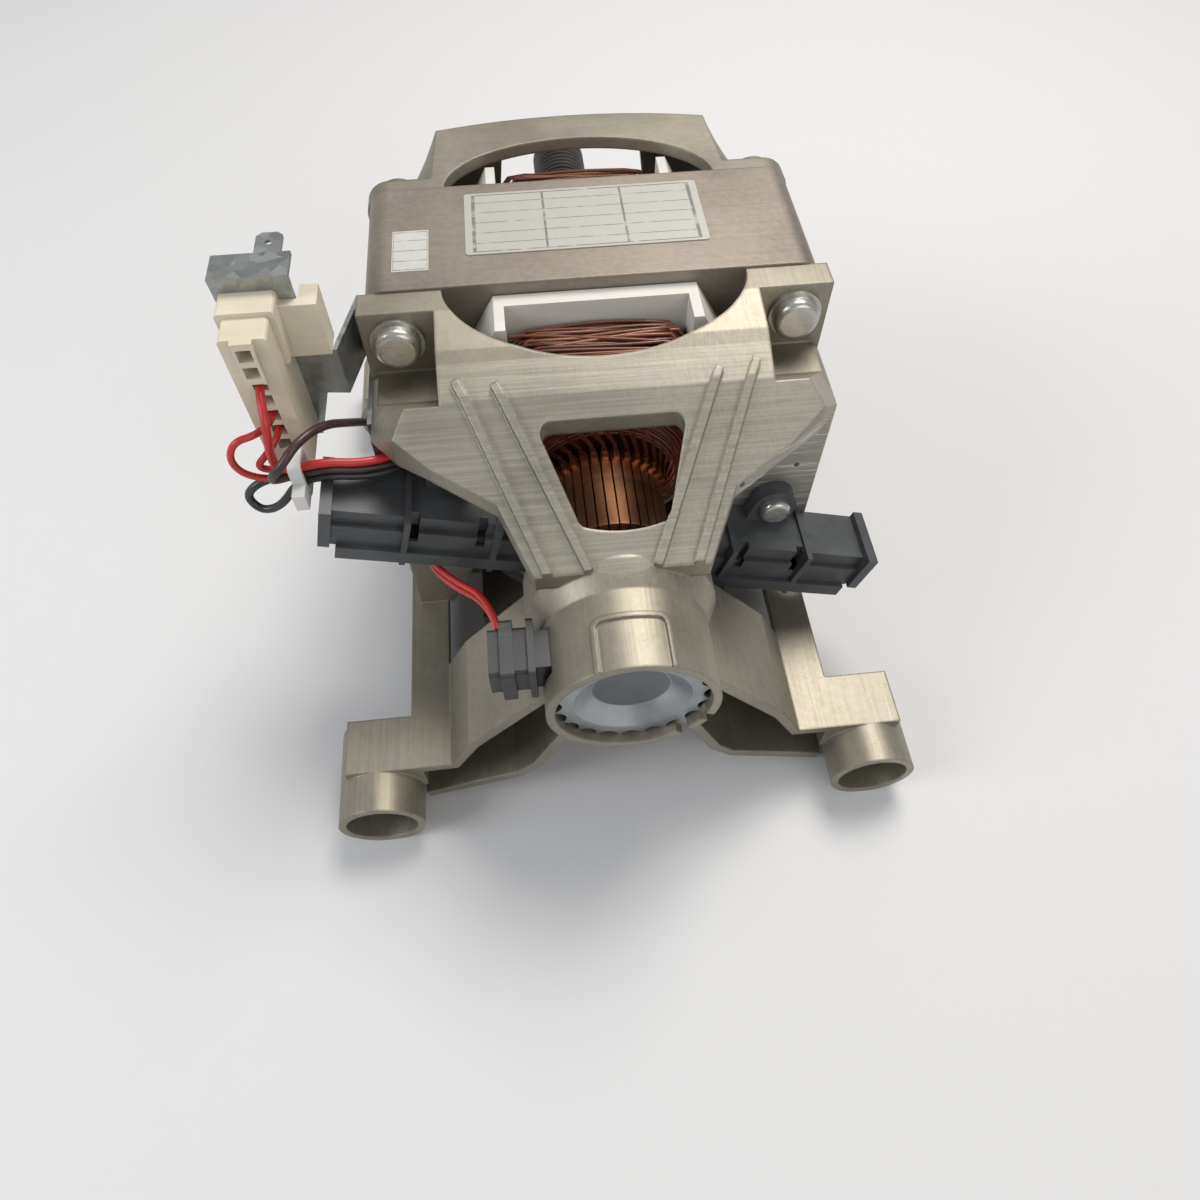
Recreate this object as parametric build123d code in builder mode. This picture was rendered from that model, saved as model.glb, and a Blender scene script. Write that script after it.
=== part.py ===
from build123d import *
from math import asin, cos, degrees, pi, radians, sin, sqrt, tan
import os

# Universal (brushed) washing machine motor with two die-cast bells, four mounting lugs,
# a poly-V belt pulley, a side bracket for the connector and a tacho on the shaft's end.
# The frame: X across, Y along the shaft towards the pulley, Z up.
# The origin is on the shaft axis, at the middle of the belt pulley.

# Shared values
overrun = 2.0
sheet_gap = 0.3
thread_gap = 0.05

# Stator stack
stack_width = 120.0
stack_height = 116.2
stack_length = 43.8
stack_corner = 6.0
pulley_to_stack = 133.0
stator_bore_r = 34.0
pole_half_width = 22.0
pole_shoe_t = 4.5
pole_half_angle = 62.0
slot_outer_r = 50.0
screw_x = 52.0
screw_z = 49.0
stack_hole_r = 2.8
stack_front = -pulley_to_stack
stack_rear = stack_front + stack_length

# Field coils and their white frames
coil_inner_r = 39.3
coil_outer_r = 49.3
coil_half_angle = 61.0
coil_side_x = 24.0
coil_overhang = 20.0
coil_frame_t = 4.6
coil_edge_r = 2.5
frame_inner_r = 36.0
frame_half_width = 41.0
frame_top_z = 54.6
frame_shoulder_share = 0.65
frame_waist_share = 0.55
frame_foot_share = 0.4
frame_foot_width_share = 1.1
frame_wall = 1.2
coil_clearance = 0.4
cheek_reach = 9.3

# Front bell, measured from the stack's front face towards the front
bell_half_width = 61.0
bell_half_height = 57.5
bell_flange_t = 6.0
bell_corner = 7.0
bell_wall = 4.0
bell_wall_reach = 30.0
ear_width = 19.0
ear_height = 16.5
ear_t = 8.0
deck_reach = 68.5
deck_drop = 5.0
# Height of the deck's top at stations from the stack, as shares of the reach and the half height
deck_profile_shares = [(0.0, 1.0), (0.12, 1.0), (0.3, 0.965), (0.48, 0.872), (1.0, 0.41)]
# The bell seen from above: half outline as shares of the half width and the reach
deck_plan_shares = [(1.0, 0.0), (1.0, 0.44), (0.885, 0.57), (0.74, 0.665), (0.49, 0.78), (0.363, 1.0)]
shoulder_inner_x = 38.0
shoulder_floor_z = 36.0
shoulder_reach = 46.0
scoop_inner_x = 43.5
scoop_floor_z = 38.5
scoop_flat_reach = 20.0
scoop_end_reach = 37.0
# Slope cut off the outer corner of the deck: two points of its line in X and Z
corner_cut_inner = (49.0, 51.0)
corner_cut_outer = (61.0, 36.0)
corner_cut_reach = 41.0
top_opening_half = 39.5
top_opening_reach = 24.5
top_opening_floor_z = 38.0
window_top_half = 19.0
window_top_reach = 38.0
window_bottom_half = 11.2
window_bottom_reach = 59.0
window_bow = 1.5
window_lean = 1.4
window_corner = 2.5
rib_width = 2.2
rib_rise = 1.6
# Ribs on the bridge: start and end as shares of the half width and the reach
rib_plan_shares = [((0.61, 0.42), (0.3, 1.02)), ((0.455, 0.44), (0.14, 1.0))]
pad_t = 4.0
pad_inner_x = 36.0
pad_drop = 41.0
pad_waist_z = -12.0
lead_window_width = 12.0
lead_window_height = 12.0
lead_window_x = -52.2
lead_window_z = 29.0
tacho_window_width = 5.8
tacho_window_height = 10.5
tacho_window_x = -54.0
tacho_window_z = 1.0
foot_plate_t = 4.0

# Bearing boss of the front bell
boss_r = 22.6
boss_front_reach = 95.2
boss_root_reach = 60.0
boss_root_r = 26.0
boss_root_end_reach = 66.0
boss_taper_reach = 73.0
mouth_r = 20.3
mouth_depth = 22.2
boss_lip_r = 13.0
bead_width = 1.4
bead_rise = 0.8
bead_half_width = 10.0
bead_length = 15.0
bead_corner = 2.5
notch_width = 3.5
notch_depth = 3.0
notch_angles = (-24.0, -48.0)
tacho_slot_height = 11.0
tacho_slot_z = 5.0
tacho_slot_length = 13.0

# Mounting lugs and legs
lug_x = 74.4
lug_z = -53.1
lug_r = 12.6
lug_bore_r = 10.4
lug_length = 29.0
lug_top_half = 8.8
front_lug_reach = 99.9
leg_sheet_t = 3.2
leg_front_reach = 88.0
leg_back_reach = 54.0
leg_outer_x = 64.0
leg_wall_t = 4.0
leg_strip_start = 16.0
# Upper sheet of a leg: section from the boss outwards, shares of the lug's place
upper_sheet_shares = [(0.29, 0.0), (0.61, 0.52), (0.7, 0.762)]
# Lower sheet of a leg: section from under the boss outwards, shares of the lug's place
lower_sheet_shares = [(0.17, 0.33), (0.27, 0.52), (0.385, 0.87), (0.455, 0.97), (0.84, 1.13)]

# Rear bell, measured from the stack's rear face towards the pulley
rear_flange_t = 5.5
rear_ear_t = 9.0
rear_shell_wall = 3.5
rear_shell_reach = 34.2
rear_shell_bow = 5.0
# Sections of the rear shell at the flange and at the back, shares of the half width and half height
rear_root_shares = [(0.69, 1.0), (0.935, 0.74)]
rear_back_shares = [(0.66, 1.0), (0.74, 0.78)]
rear_opening_half = 38.5
rear_opening_reach = 21.8
rear_window_half = 21.0
rear_window_low_half = 24.0
rear_window_top_z = 53.0
rear_window_bottom_z = 29.0
rear_side_window_height = 44.0
rear_side_window_length = 15.0
rear_boss_r = 24.0
rear_boss_reach = 52.0
rear_boss_root_reach = 28.0
rear_lip_r = 11.0
rear_lip_t = 3.0
rear_lug_reach = 51.2
rear_leg_reach = 44.0
# Legs of the rear bell: upper and lower sheet sections, shares of the lug's place
rear_upper_shares = [(0.5, 0.5), (0.72, 0.762)]
rear_lower_shares = [(0.45, 0.98), (0.84, 1.13)]

# Bearings
front_bearing_r = 16.0
front_bearing_bore_r = 6.0
front_bearing_t = 10.0
rear_bearing_r = 17.5
rear_bearing_bore_r = 7.5
rear_bearing_t = 11.0
ring_share = 0.3
ball_gap = 0.05
front_ball_count = 7
rear_ball_count = 8

# Rotor
air_gap = 0.6
armature_slots = 12
armature_slot_r = 4.4
armature_slot_place_share = 0.8
armature_slot_mouth = 2.4
front_head_length = 20.4
rear_head_length = 17.0
head_root_share = 0.93
head_nose_share = 0.62
commutator_r = 17.0
commutator_inner_r = 13.0
commutator_front_reach = 48.5
commutator_rear_reach = 22.5
commutator_bars_count = 36
mica_gap = 0.5
hook_length = 3.6
hook_rise = 1.6
hook_width = 1.6
hub_overhang = 1.8
shaft_main_r = 7.5
shaft_front_r = 6.0
shaft_magnet_r = 4.0
shaft_pulley_r = 6.0
shaft_front_reach = 85.0
shaft_end_past_pulley = 1.5
shaft_chamfer = 0.8
pulley_r = 10.0
pulley_length = 36.0
pulley_groove_pitch = 2.34
pulley_groove_depth = 1.9
pulley_grooves = 11
pulley_flange_r = 10.6
pulley_flange_t = 1.6

# Tacho and the cap over it
magnet_r = 9.0
magnet_t = 8.0
tacho_coil_inner_r = 11.0
tacho_coil_t = 11.0
tacho_back_reach = 75.0
cap_t = 1.0
cap_rim_drop = 2.6
cap_dish_depth = 3.8
cap_flat_r = 10.5
cap_slope_r = 15.5
cap_teeth = 20
cap_scallop_r = 2.9
cap_scallop_depth = 1.9
cap_edge_gap = 0.1
plug_width = 10.0
plug_height = 13.0
plug_length = 17.0
plug_inner_x = -23.9
plug_corner = 1.2
plug_drop = 6.2
header_wall = 1.6
header_length = 7.0
header_t = 1.8

# Brush gear; the holders lie on one line through the axis, its left end up
brush_tilt = 16.0
brush_station_reach = 40.0
brush_width = 12.5
brush_height = 5.0
brush_length = 30.0
brush_clearance = 0.25
brush_gap = 0.3
holder_inner_r = 22.0
holder_outer_r = 80.0
holder_height = 16.0
holder_front_reach = 49.0
holder_step_z = 3.5
holder_step_depth = 3.2
holder_rib_places = (34.0, 58.0)
holder_rib_t = 1.6
holder_rib_rise = 1.0
holder_end_t = 3.0
holder_end_rise = 2.2
holder_recess = 4.5
ear_place = 47.0
ear_rise = 13.8
ear_outer_r = 6.5
ear_plate_t = 5.0
ear_slot_width = 2.4
ear_slot_depth = 2.0
spring_r = 2.2
spring_wire_r = 0.4
spring_turns = 9
holder_screw_head_r = 4.4
holder_screw_head_t = 2.6
holder_screw_r = 2.0
holder_screw_length = 10.0

# Stator screws
screw_r = 2.5
screw_head_r = 6.0
screw_head_t = 3.6
screw_washer_r = 7.0
screw_washer_t = 1.2
screw_tail = 7.5

# Connector bracket, bent from one sheet
bracket_t = 1.2
arm_bottom_z = 39.0
arm_top_z = 53.5
arm_root_rear = 5.0
arm_bend_x = -66.5
arm_bend_reach = 15.0
plate_left_x = -90.4
plate_right_x = -72.0
plate_reach = 14.0
plate_bottom_z = 24.0
plate_top_z = 75.0
lip_depth = 9.0
earth_tab_width = 6.3
earth_tab_length = 7.6
earth_tab_t = 0.8
earth_tab_x = -77.4
earth_tab_hole_r = 0.9
earth_tab_taper = 1.3
bracket_foot_front_reach = 24.0
bracket_foot_bottom_z = -4.0
bracket_relief = 3.0
bracket_screw_z = 12.0
bracket_screw_reach = 14.0
bracket_screw_length = 9.0

# Connector and its terminals
connector_width = 11.0
connector_depth = 15.0
connector_x = -82.5
connector_bottom_z = 28.0
connector_top_z = 70.0
connector_head_height = 13.0
connector_head_grow = 1.2
connector_corner = 1.0
port_pitch = 5.0
port_count = 8
port_size = 3.4
port_depth = 11.0
latch_width = 5.0
latch_height = 12.0
latch_rise = 1.6
clip_reach = 5.0
clip_height = 15.0
clip_width = 5.0
terminal_length = 7.0
terminal_size = 2.4

# Leads
lead_r = 1.1
tacho_lead_r = 0.9
tie_width = 3.2
tie_t = 1.2
tie_head = 5.2
tie_slack = 1.1
tie_x = -78.6
arc_share = 0.45

# Plates on the stack
rating_plate_length = 65.0
rating_plate_width = 27.0
rating_plate_x = -0.3
rating_plate_reach = 25.5
rating_plate_t = 0.3
small_label_length = 17.0
small_label_width = 9.6
small_label_x = -47.4
small_label_reach = 15.7
small_label_t = 0.15


def station(y):
    """Plane square to the shaft at y: X to the right, Z up, extrusions run to the front."""
    return Plane.XZ.offset(-y)


def front(reach):
    """Y of a place in front of the stack, by its distance from the stack's front face."""
    return stack_front - reach


def rear(reach):
    """Y of a place behind the stack, by its distance from the stack's rear face."""
    return stack_rear + reach


def mirrored(points):
    """A half outline with X above zero, completed by its mirror image."""
    return points + [(-x, y) for x, y in reversed(points)]


def ring_sector(inner, outer, middle, half):
    """Sector of a ring about the shaft axis; angles run from +X towards +Z."""
    with BuildSketch(Plane.XY) as sector:
        with BuildLine():
            outside = CenterArc((0, 0), outer, middle - half, 2 * half)
            inside = CenterArc((0, 0), inner, middle - half, 2 * half)
            Line(outside @ 0, inside @ 0)
            Line(outside @ 1, inside @ 1)
        make_face()
    return sector.sketch


def strip_section(points, thickness):
    """A bent sheet's section: the given line is its upper face, the sheet lies below."""
    lower = []
    for i, (x, z) in enumerate(points):
        before = points[max(i - 1, 0)]
        after = points[min(i + 1, len(points) - 1)]
        run = (Vector(after[0] - before[0], after[1] - before[1])).normalized()
        lower.append((x + run.Y * thickness, z - run.X * thickness))
    return Polygon(*points, *reversed(lower), align=None, mode=Mode.PRIVATE)


def save(builder, name):
    """Label a finished piece and write it to its own file."""
    builder.part.label = name
    export_step(builder.part, f"parts/{name}.step")


os.makedirs("parts", exist_ok=True)

tilt_cos = cos(radians(brush_tilt))
tilt_sin = sin(radians(brush_tilt))


def tilted(reach):
    """Plane square to the shaft whose X runs along the brush line, its left end up."""
    return Plane(origin=(0, front(reach), 0), x_dir=(tilt_cos, 0, -tilt_sin), z_dir=(0, -1, 0))


def tilted_place(along, above):
    """X and Z of a place given along the brush line and above it."""
    return (along * tilt_cos + above * tilt_sin, -along * tilt_sin + above * tilt_cos)


holder_screw_places = [tilted_place(side * ear_place, ear_rise) for side in (-1, 1)]
screw_places = [(sx * screw_x, sz * screw_z) for sx in (-1, 1) for sz in (-1, 1)]

# Stator core: laminated yoke with two poles
with BuildPart() as stator_core:
    with BuildSketch(station(stack_rear)):
        RectangleRounded(stack_width, stack_height, stack_corner)
        Circle(slot_outer_r, mode=Mode.SUBTRACT)
        Rectangle(2 * pole_half_width, 2 * slot_outer_r)
        for pole_angle in (90, 270):
            add(ring_sector(stator_bore_r, stator_bore_r + pole_shoe_t, pole_angle, pole_half_angle))
        Circle(stator_bore_r, mode=Mode.SUBTRACT)
        with Locations(*screw_places):
            Circle(stack_hole_r, mode=Mode.SUBTRACT)
    extrude(amount=stack_length)
save(stator_core, "stator_core")


# Field coils and coil frames, one of each above and below the rotor
def make_field_coil(up):
    """Saddle-shaped bundle of enamelled wire round one pole; up is 1 or -1."""
    middle = 90 * up
    with BuildPart() as coil:
        with BuildSketch(station(rear(coil_overhang))):
            add(ring_sector(coil_inner_r, coil_outer_r, middle, coil_half_angle))
        extrude(amount=stack_length + 2 * coil_overhang)
        fillet(coil.edges().filter_by(Axis.Y), coil_edge_r)
        with BuildSketch(station(rear(coil_frame_t + coil_clearance))):
            with Locations((0, up * coil_outer_r)):
                Rectangle(2 * coil_side_x, coil_outer_r)
        extrude(amount=stack_length + 2 * (coil_frame_t + coil_clearance), mode=Mode.SUBTRACT)
    return coil


def make_coil_frame(up):
    """White frame of one coil: a plate on each face of the stack, joined by walls in the slots."""
    waist_z = frame_waist_share * frame_top_z
    foot_z = frame_foot_share * frame_top_z
    foot_x = frame_foot_width_share * frame_half_width
    heel = frame_inner_r / slot_outer_r
    half = [
        (heel * foot_x, up * heel * foot_z),
        (foot_x, up * foot_z),
        (frame_half_width, up * waist_z),
        (frame_shoulder_share * frame_half_width, up * frame_top_z),
    ]
    wall_x = pole_half_width + coil_clearance
    coil_room = ring_sector(
        coil_inner_r - coil_clearance,
        coil_outer_r + coil_clearance,
        90 * up,
        coil_half_angle + degrees(coil_clearance / coil_inner_r),
    )
    with BuildSketch(Plane.XY) as plate:
        Polygon(*mirrored(half), align=None)
        Circle(frame_inner_r, mode=Mode.SUBTRACT)
        add(coil_room, mode=Mode.SUBTRACT)
        with Locations((0, up * (frame_inner_r + frame_top_z) / 2)):
            Rectangle(2 * (coil_side_x - coil_clearance / 2), frame_top_z - frame_inner_r)
        Circle(frame_inner_r, mode=Mode.SUBTRACT)
    with BuildSketch(Plane.XY) as cheek:
        Polygon(*mirrored(half), align=None)
        Circle(coil_outer_r + coil_clearance, mode=Mode.SUBTRACT)
        Rectangle(2 * coil_side_x, 2 * frame_top_z, mode=Mode.SUBTRACT)
    wall_bottom = sqrt((stator_bore_r + pole_shoe_t + coil_clearance) ** 2 - wall_x**2)
    wall_top = sqrt((slot_outer_r - coil_clearance) ** 2 - (wall_x + frame_wall) ** 2)
    with BuildPart() as frame:
        for near in (front(0) - sheet_gap, rear(0) + sheet_gap + coil_frame_t - sheet_gap):
            with BuildSketch(station(near)):
                add(plate.sketch)
            extrude(amount=coil_frame_t - sheet_gap)
        with BuildSketch(station(front(coil_frame_t))):
            add(cheek.sketch)
        extrude(amount=cheek_reach)
        with BuildSketch(station(rear(coil_frame_t + cheek_reach))):
            add(cheek.sketch)
        extrude(amount=cheek_reach)
        with BuildSketch(station(rear(sheet_gap + coil_clearance))):
            for side in (-1, 1):
                with Locations((side * (wall_x + frame_wall / 2), up * (wall_bottom + wall_top) / 2)):
                    Rectangle(frame_wall, wall_top - wall_bottom)
        extrude(amount=stack_length + 2 * (sheet_gap + coil_clearance))
    return frame


for up, place in ((1, "top"), (-1, "bottom")):
    save(make_field_coil(up), f"field_coil_{place}")
    save(make_coil_frame(up), f"coil_frame_{place}")


# Front bell
def deck_points(rise):
    """Top of the deck in the YZ plane, raised by rise."""
    return [(front(s * deck_reach), h * bell_half_height + rise) for s, h in deck_profile_shares]


def deck_section(rise, drop):
    """Section of a slab that follows the deck's top, from rise above it to drop below it."""
    return Polygon(*deck_points(rise), *reversed(deck_points(-drop)), align=None, mode=Mode.PRIVATE)


deck_plan = Polygon(
    *mirrored([(a * bell_half_width, front(b * deck_reach)) for a, b in deck_plan_shares]),
    align=None,
    mode=Mode.PRIVATE,
)
deck_full = deck_section(0, deck_drop)
rib_full = deck_section(rib_rise, deck_drop)

with BuildPart() as deck:
    with BuildSketch(Plane.YZ.offset(-bell_half_width)):
        add(deck_full)
    extrude(amount=2 * bell_half_width)
    with BuildSketch(Plane.XY):
        add(deck_plan)
    extrude(amount=bell_half_height, mode=Mode.INTERSECT)

with BuildPart() as shoulders:
    with BuildSketch(Plane.YZ.offset(-bell_half_width)):
        Polygon(
            *[p for p in deck_points(0) if p[0] > front(shoulder_reach)],
            (front(shoulder_reach), shoulder_floor_z),
            (front(0), shoulder_floor_z),
            align=None,
        )
    extrude(amount=2 * bell_half_width)
    with BuildSketch(Plane.XY):
        add(deck_plan)
        with Locations((0, front(shoulder_reach / 2))):
            Rectangle(2 * shoulder_inner_x, shoulder_reach + 2 * overrun, mode=Mode.SUBTRACT)
    extrude(amount=bell_half_height, mode=Mode.INTERSECT)

with BuildPart() as bridge_ribs:
    with BuildSketch(Plane.YZ.offset(-bell_half_width)):
        add(rib_full)
    extrude(amount=2 * bell_half_width)
    with BuildSketch(Plane.XY):
        for (start_x, start_y), (end_x, end_y) in rib_plan_shares:
            for side in (-1, 1):
                with BuildLine():
                    Line(
                        (side * start_x * bell_half_width, front(start_y * deck_reach)),
                        (side * end_x * bell_half_width, front(end_y * deck_reach)),
                    )
                trace(line_width=rib_width)
    extrude(amount=bell_half_height, mode=Mode.INTERSECT)

leg_strip_z = lug_z + lug_r
upper_sheet = [(a * lug_x, b * lug_z) for a, b in upper_sheet_shares]
upper_sheet_strip = upper_sheet + [(leg_outer_x, leg_strip_z)]
lower_sheet = [(a * lug_x, b * lug_z) for a, b in lower_sheet_shares]


def leg_profile(points, side):
    """Section of a leg sheet on one side of the motor."""
    section = strip_section(points, leg_sheet_t)
    return section if side > 0 else mirror(section, Plane.YZ, mode=Mode.PRIVATE)


leg_sections = {
    (name, side): leg_profile(points, side)
    for side in (-1, 1)
    for name, points in (("upper", upper_sheet_strip), ("lower", lower_sheet))
}
pad_half = [
    (pad_inner_x, shoulder_floor_z),
    (pad_inner_x, pad_waist_z),
    (pad_inner_x + (pad_drop + pad_waist_z) / 2, -pad_drop),
    (bell_half_width, -pad_drop),
    (bell_half_width, shoulder_floor_z),
]

# Bead on top of the boss, following its curve
with BuildPart() as boss_bead:
    with BuildSketch(station(front(boss_front_reach - 2 * bead_length))):
        Circle(boss_r + bead_rise)
        Circle(boss_r - bead_rise, mode=Mode.SUBTRACT)
    extrude(amount=2 * bead_length)
    with BuildSketch(Plane.XY):
        with Locations((0, front(boss_front_reach - bead_length / 2 + bead_corner))):
            RectangleRounded(2 * bead_half_width, bead_length + 2 * bead_corner, bead_corner)
            RectangleRounded(
                2 * (bead_half_width - bead_width),
                bead_length + 2 * (bead_corner - bead_width),
                bead_corner - bead_width / 2,
                mode=Mode.SUBTRACT,
            )
        with Locations((0, front(boss_front_reach + overrun + bead_corner))):
            Rectangle(2 * bead_half_width + overrun, 2 * (overrun + bead_corner), mode=Mode.SUBTRACT)
    extrude(amount=boss_r + 2 * bead_rise, mode=Mode.INTERSECT)

# Hollows in front of the upper ears, their floors rising to the deck, and the cut-off corners
with BuildPart() as scoops:
    for side in (-1, 1):
        with BuildSketch(Plane.YZ.offset(side * (scoop_inner_x + bell_half_width) / 2)):
            Polygon(
                (front(ear_t), scoop_floor_z),
                (front(scoop_flat_reach), scoop_floor_z),
                (front(scoop_end_reach), bell_half_height - deck_drop),
                (front(scoop_end_reach), bell_half_height + overrun),
                (front(ear_t), bell_half_height + overrun),
                align=None,
            )
        extrude(amount=(bell_half_width - scoop_inner_x) / 2 + overrun, both=True)
    with BuildSketch(Plane.YZ):
        Rectangle(4 * bell_half_width, 4 * bell_half_height)
    extrude(amount=scoop_inner_x, both=True, mode=Mode.SUBTRACT)
    corner_slope = (corner_cut_outer[1] - corner_cut_inner[1]) / (corner_cut_outer[0] - corner_cut_inner[0])
    with BuildSketch(station(front(ear_t))):
        for side in (-1, 1):
            Polygon(
                (side * corner_cut_inner[0], corner_cut_inner[1]),
                (side * (corner_cut_outer[0] + overrun), corner_cut_outer[1] + overrun * corner_slope),
                (side * (corner_cut_outer[0] + overrun), bell_half_height + overrun),
                (side * corner_cut_inner[0], bell_half_height + overrun),
                align=None,
            )
    extrude(amount=corner_cut_reach - ear_t)

with BuildPart() as front_bell:
    # Flange, ears and walls
    with BuildSketch(station(front(0))):
        RectangleRounded(2 * bell_half_width, 2 * bell_half_height, bell_corner)
        Rectangle(
            2 * (bell_half_width - bell_wall),
            2 * (bell_half_height - bell_wall),
            mode=Mode.SUBTRACT,
        )
    extrude(amount=bell_flange_t)
    with BuildSketch(station(front(0))):
        RectangleRounded(2 * bell_half_width, 2 * bell_half_height, bell_corner)
        Rectangle(2 * (bell_half_width - ear_width), 2 * bell_half_height, mode=Mode.SUBTRACT)
        Rectangle(2 * bell_half_width, 2 * (bell_half_height - ear_height), mode=Mode.SUBTRACT)
    extrude(amount=ear_t)
    for side in (-1, 1):
        with BuildSketch(Plane.XY.offset(leg_strip_z - leg_sheet_t)):
            with Locations((side * (bell_half_width - bell_wall / 2), front(bell_wall_reach / 2))):
                Rectangle(bell_wall, bell_wall_reach)
        extrude(amount=scoop_floor_z - leg_strip_z + leg_sheet_t)
        with BuildSketch(station(front(bell_wall_reach - pad_t))):
            Polygon(*[(side * x, z) for x, z in pad_half], align=None)
        extrude(amount=pad_t)
    with BuildSketch(Plane.XY.offset(-bell_half_height)):
        with Locations((0, front(bell_wall_reach / 2))):
            Rectangle(2 * (bell_half_width - ear_width), bell_wall_reach)
    extrude(amount=foot_plate_t)
    add(deck.part)
    add(shoulders.part)
    add(bridge_ribs.part)
    # Boss
    with BuildSketch(Plane.XY):
        Polygon(
            (0, front(boss_root_reach - deck_drop)),
            (boss_root_r, front(boss_root_reach - deck_drop)),
            (boss_root_r, front(boss_root_end_reach)),
            (boss_r, front(boss_taper_reach)),
            (boss_r, front(boss_front_reach)),
            (0, front(boss_front_reach)),
            align=None,
        )
    revolve(axis=Axis.Y)
    # Legs: the upper sheet runs from the boss over the lug, the flat strip back to the flange
    for side in (-1, 1):
        with BuildSketch(station(front(leg_back_reach))):
            add(leg_sections["upper", side])
            add(leg_sections["lower", side])
        extrude(amount=leg_front_reach - leg_back_reach)
        with BuildSketch(station(front(leg_strip_start))):
            with Locations((side * (upper_sheet[-1][0] + leg_outer_x) / 2, leg_strip_z - leg_sheet_t / 2)):
                Rectangle(leg_outer_x - upper_sheet[-1][0], leg_sheet_t)
        extrude(amount=front_lug_reach - lug_length - leg_strip_start)
        with BuildSketch(station(front(0))):
            with Locations((side * (leg_outer_x - leg_wall_t / 2), (leg_strip_z + lug_z - lug_r / 2) / 2)):
                Rectangle(leg_wall_t, leg_strip_z - lug_z + lug_r / 2)
        extrude(amount=front_lug_reach - lug_length)
        with BuildSketch(station(front(leg_back_reach))):
            Polygon(
                *[(side * x, z) for x, z in upper_sheet],
                (side * leg_outer_x, leg_strip_z),
                (side * leg_outer_x, lower_sheet[-1][1]),
                *[(side * x, z) for x, z in reversed(lower_sheet)],
                align=None,
            )
        extrude(amount=leg_sheet_t)
        with BuildSketch(station(front(front_lug_reach - lug_length))):
            with Locations((side * lug_x, lug_z)):
                Circle(lug_r)
        extrude(amount=lug_length)
        with BuildSketch(station(front(front_lug_reach - lug_length))):
            with Locations((side * (leg_outer_x + lug_x) / 2, lug_z)):
                Rectangle(lug_x - leg_outer_x + 2 * leg_sheet_t, 2 * lug_r)
        extrude(amount=leg_sheet_t)
        with BuildSketch(station(front(front_lug_reach - lug_length))):
            with Locations((side * (leg_outer_x - leg_sheet_t + lug_x + lug_top_half) / 2, lug_z + lug_r / 2)):
                Rectangle(lug_x + lug_top_half - leg_outer_x + leg_sheet_t, lug_r)
        extrude(amount=leg_front_reach - (front_lug_reach - lug_length))
    add(boss_bead.part)
    # Openings
    with BuildSketch(Plane.XY.offset(top_opening_floor_z)):
        with Locations((0, front(0))):
            Ellipse(top_opening_half, top_opening_reach)
    extrude(amount=bell_half_height, mode=Mode.SUBTRACT)
    with BuildSketch(Plane.XY.offset(-bell_half_height - overrun)):
        with Locations((0, front(0))):
            Ellipse(top_opening_half, top_opening_reach)
    extrude(amount=bell_half_height - top_opening_floor_z + overrun, mode=Mode.SUBTRACT)
    with BuildSketch(Plane.XY.offset(boss_lip_r)):
        with BuildLine():
            window_left = (window_lean - window_bottom_half, front(window_bottom_reach))
            window_right = (window_lean + window_bottom_half, front(window_bottom_reach))
            Polyline(
                window_left,
                (-window_top_half, front(window_top_reach)),
                (window_top_half, front(window_top_reach)),
                window_right,
            )
            ThreePointArc(window_right, (window_lean, front(window_bottom_reach + window_bow)), window_left)
        window_face = make_face()
        fillet(window_face.vertices(), window_corner)
    extrude(amount=bell_half_height, mode=Mode.SUBTRACT)
    add(scoops.part, mode=Mode.SUBTRACT)
    for side in (-1, 1):
        with BuildSketch(station(front(front_lug_reach - lug_length - overrun))):
            with Locations((side * lug_x, lug_z)):
                Circle(lug_bore_r)
        extrude(amount=lug_length + 2 * overrun, mode=Mode.SUBTRACT)
    # Bores of the boss
    with BuildSketch(station(front(boss_front_reach - mouth_depth))):
        Circle(mouth_r)
    extrude(amount=mouth_depth, mode=Mode.SUBTRACT)
    with BuildSketch(station(front(boss_front_reach - mouth_depth - front_bearing_t))):
        Circle(front_bearing_r + thread_gap)
    extrude(amount=front_bearing_t, mode=Mode.SUBTRACT)
    with BuildSketch(station(front(boss_root_reach - deck_drop))):
        Circle(boss_lip_r)
    extrude(amount=boss_front_reach - boss_root_reach, mode=Mode.SUBTRACT)
    # Slot in the boss for the tacho's socket, and two small notches in its rim
    with BuildSketch(Plane.YZ.offset(-boss_r - overrun)):
        with Locations((front(tacho_back_reach + tacho_slot_length / 2), tacho_slot_z)):
            Rectangle(tacho_slot_length, tacho_slot_height)
    extrude(amount=boss_r / 2, mode=Mode.SUBTRACT)
    with BuildSketch(station(front(boss_front_reach - notch_depth))):
        for angle in notch_angles:
            with Locations(Rot(0, 0, angle)):
                with Locations((boss_r, 0)):
                    Rectangle(boss_r / 2, notch_width)
    extrude(amount=notch_depth + overrun, mode=Mode.SUBTRACT)
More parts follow.
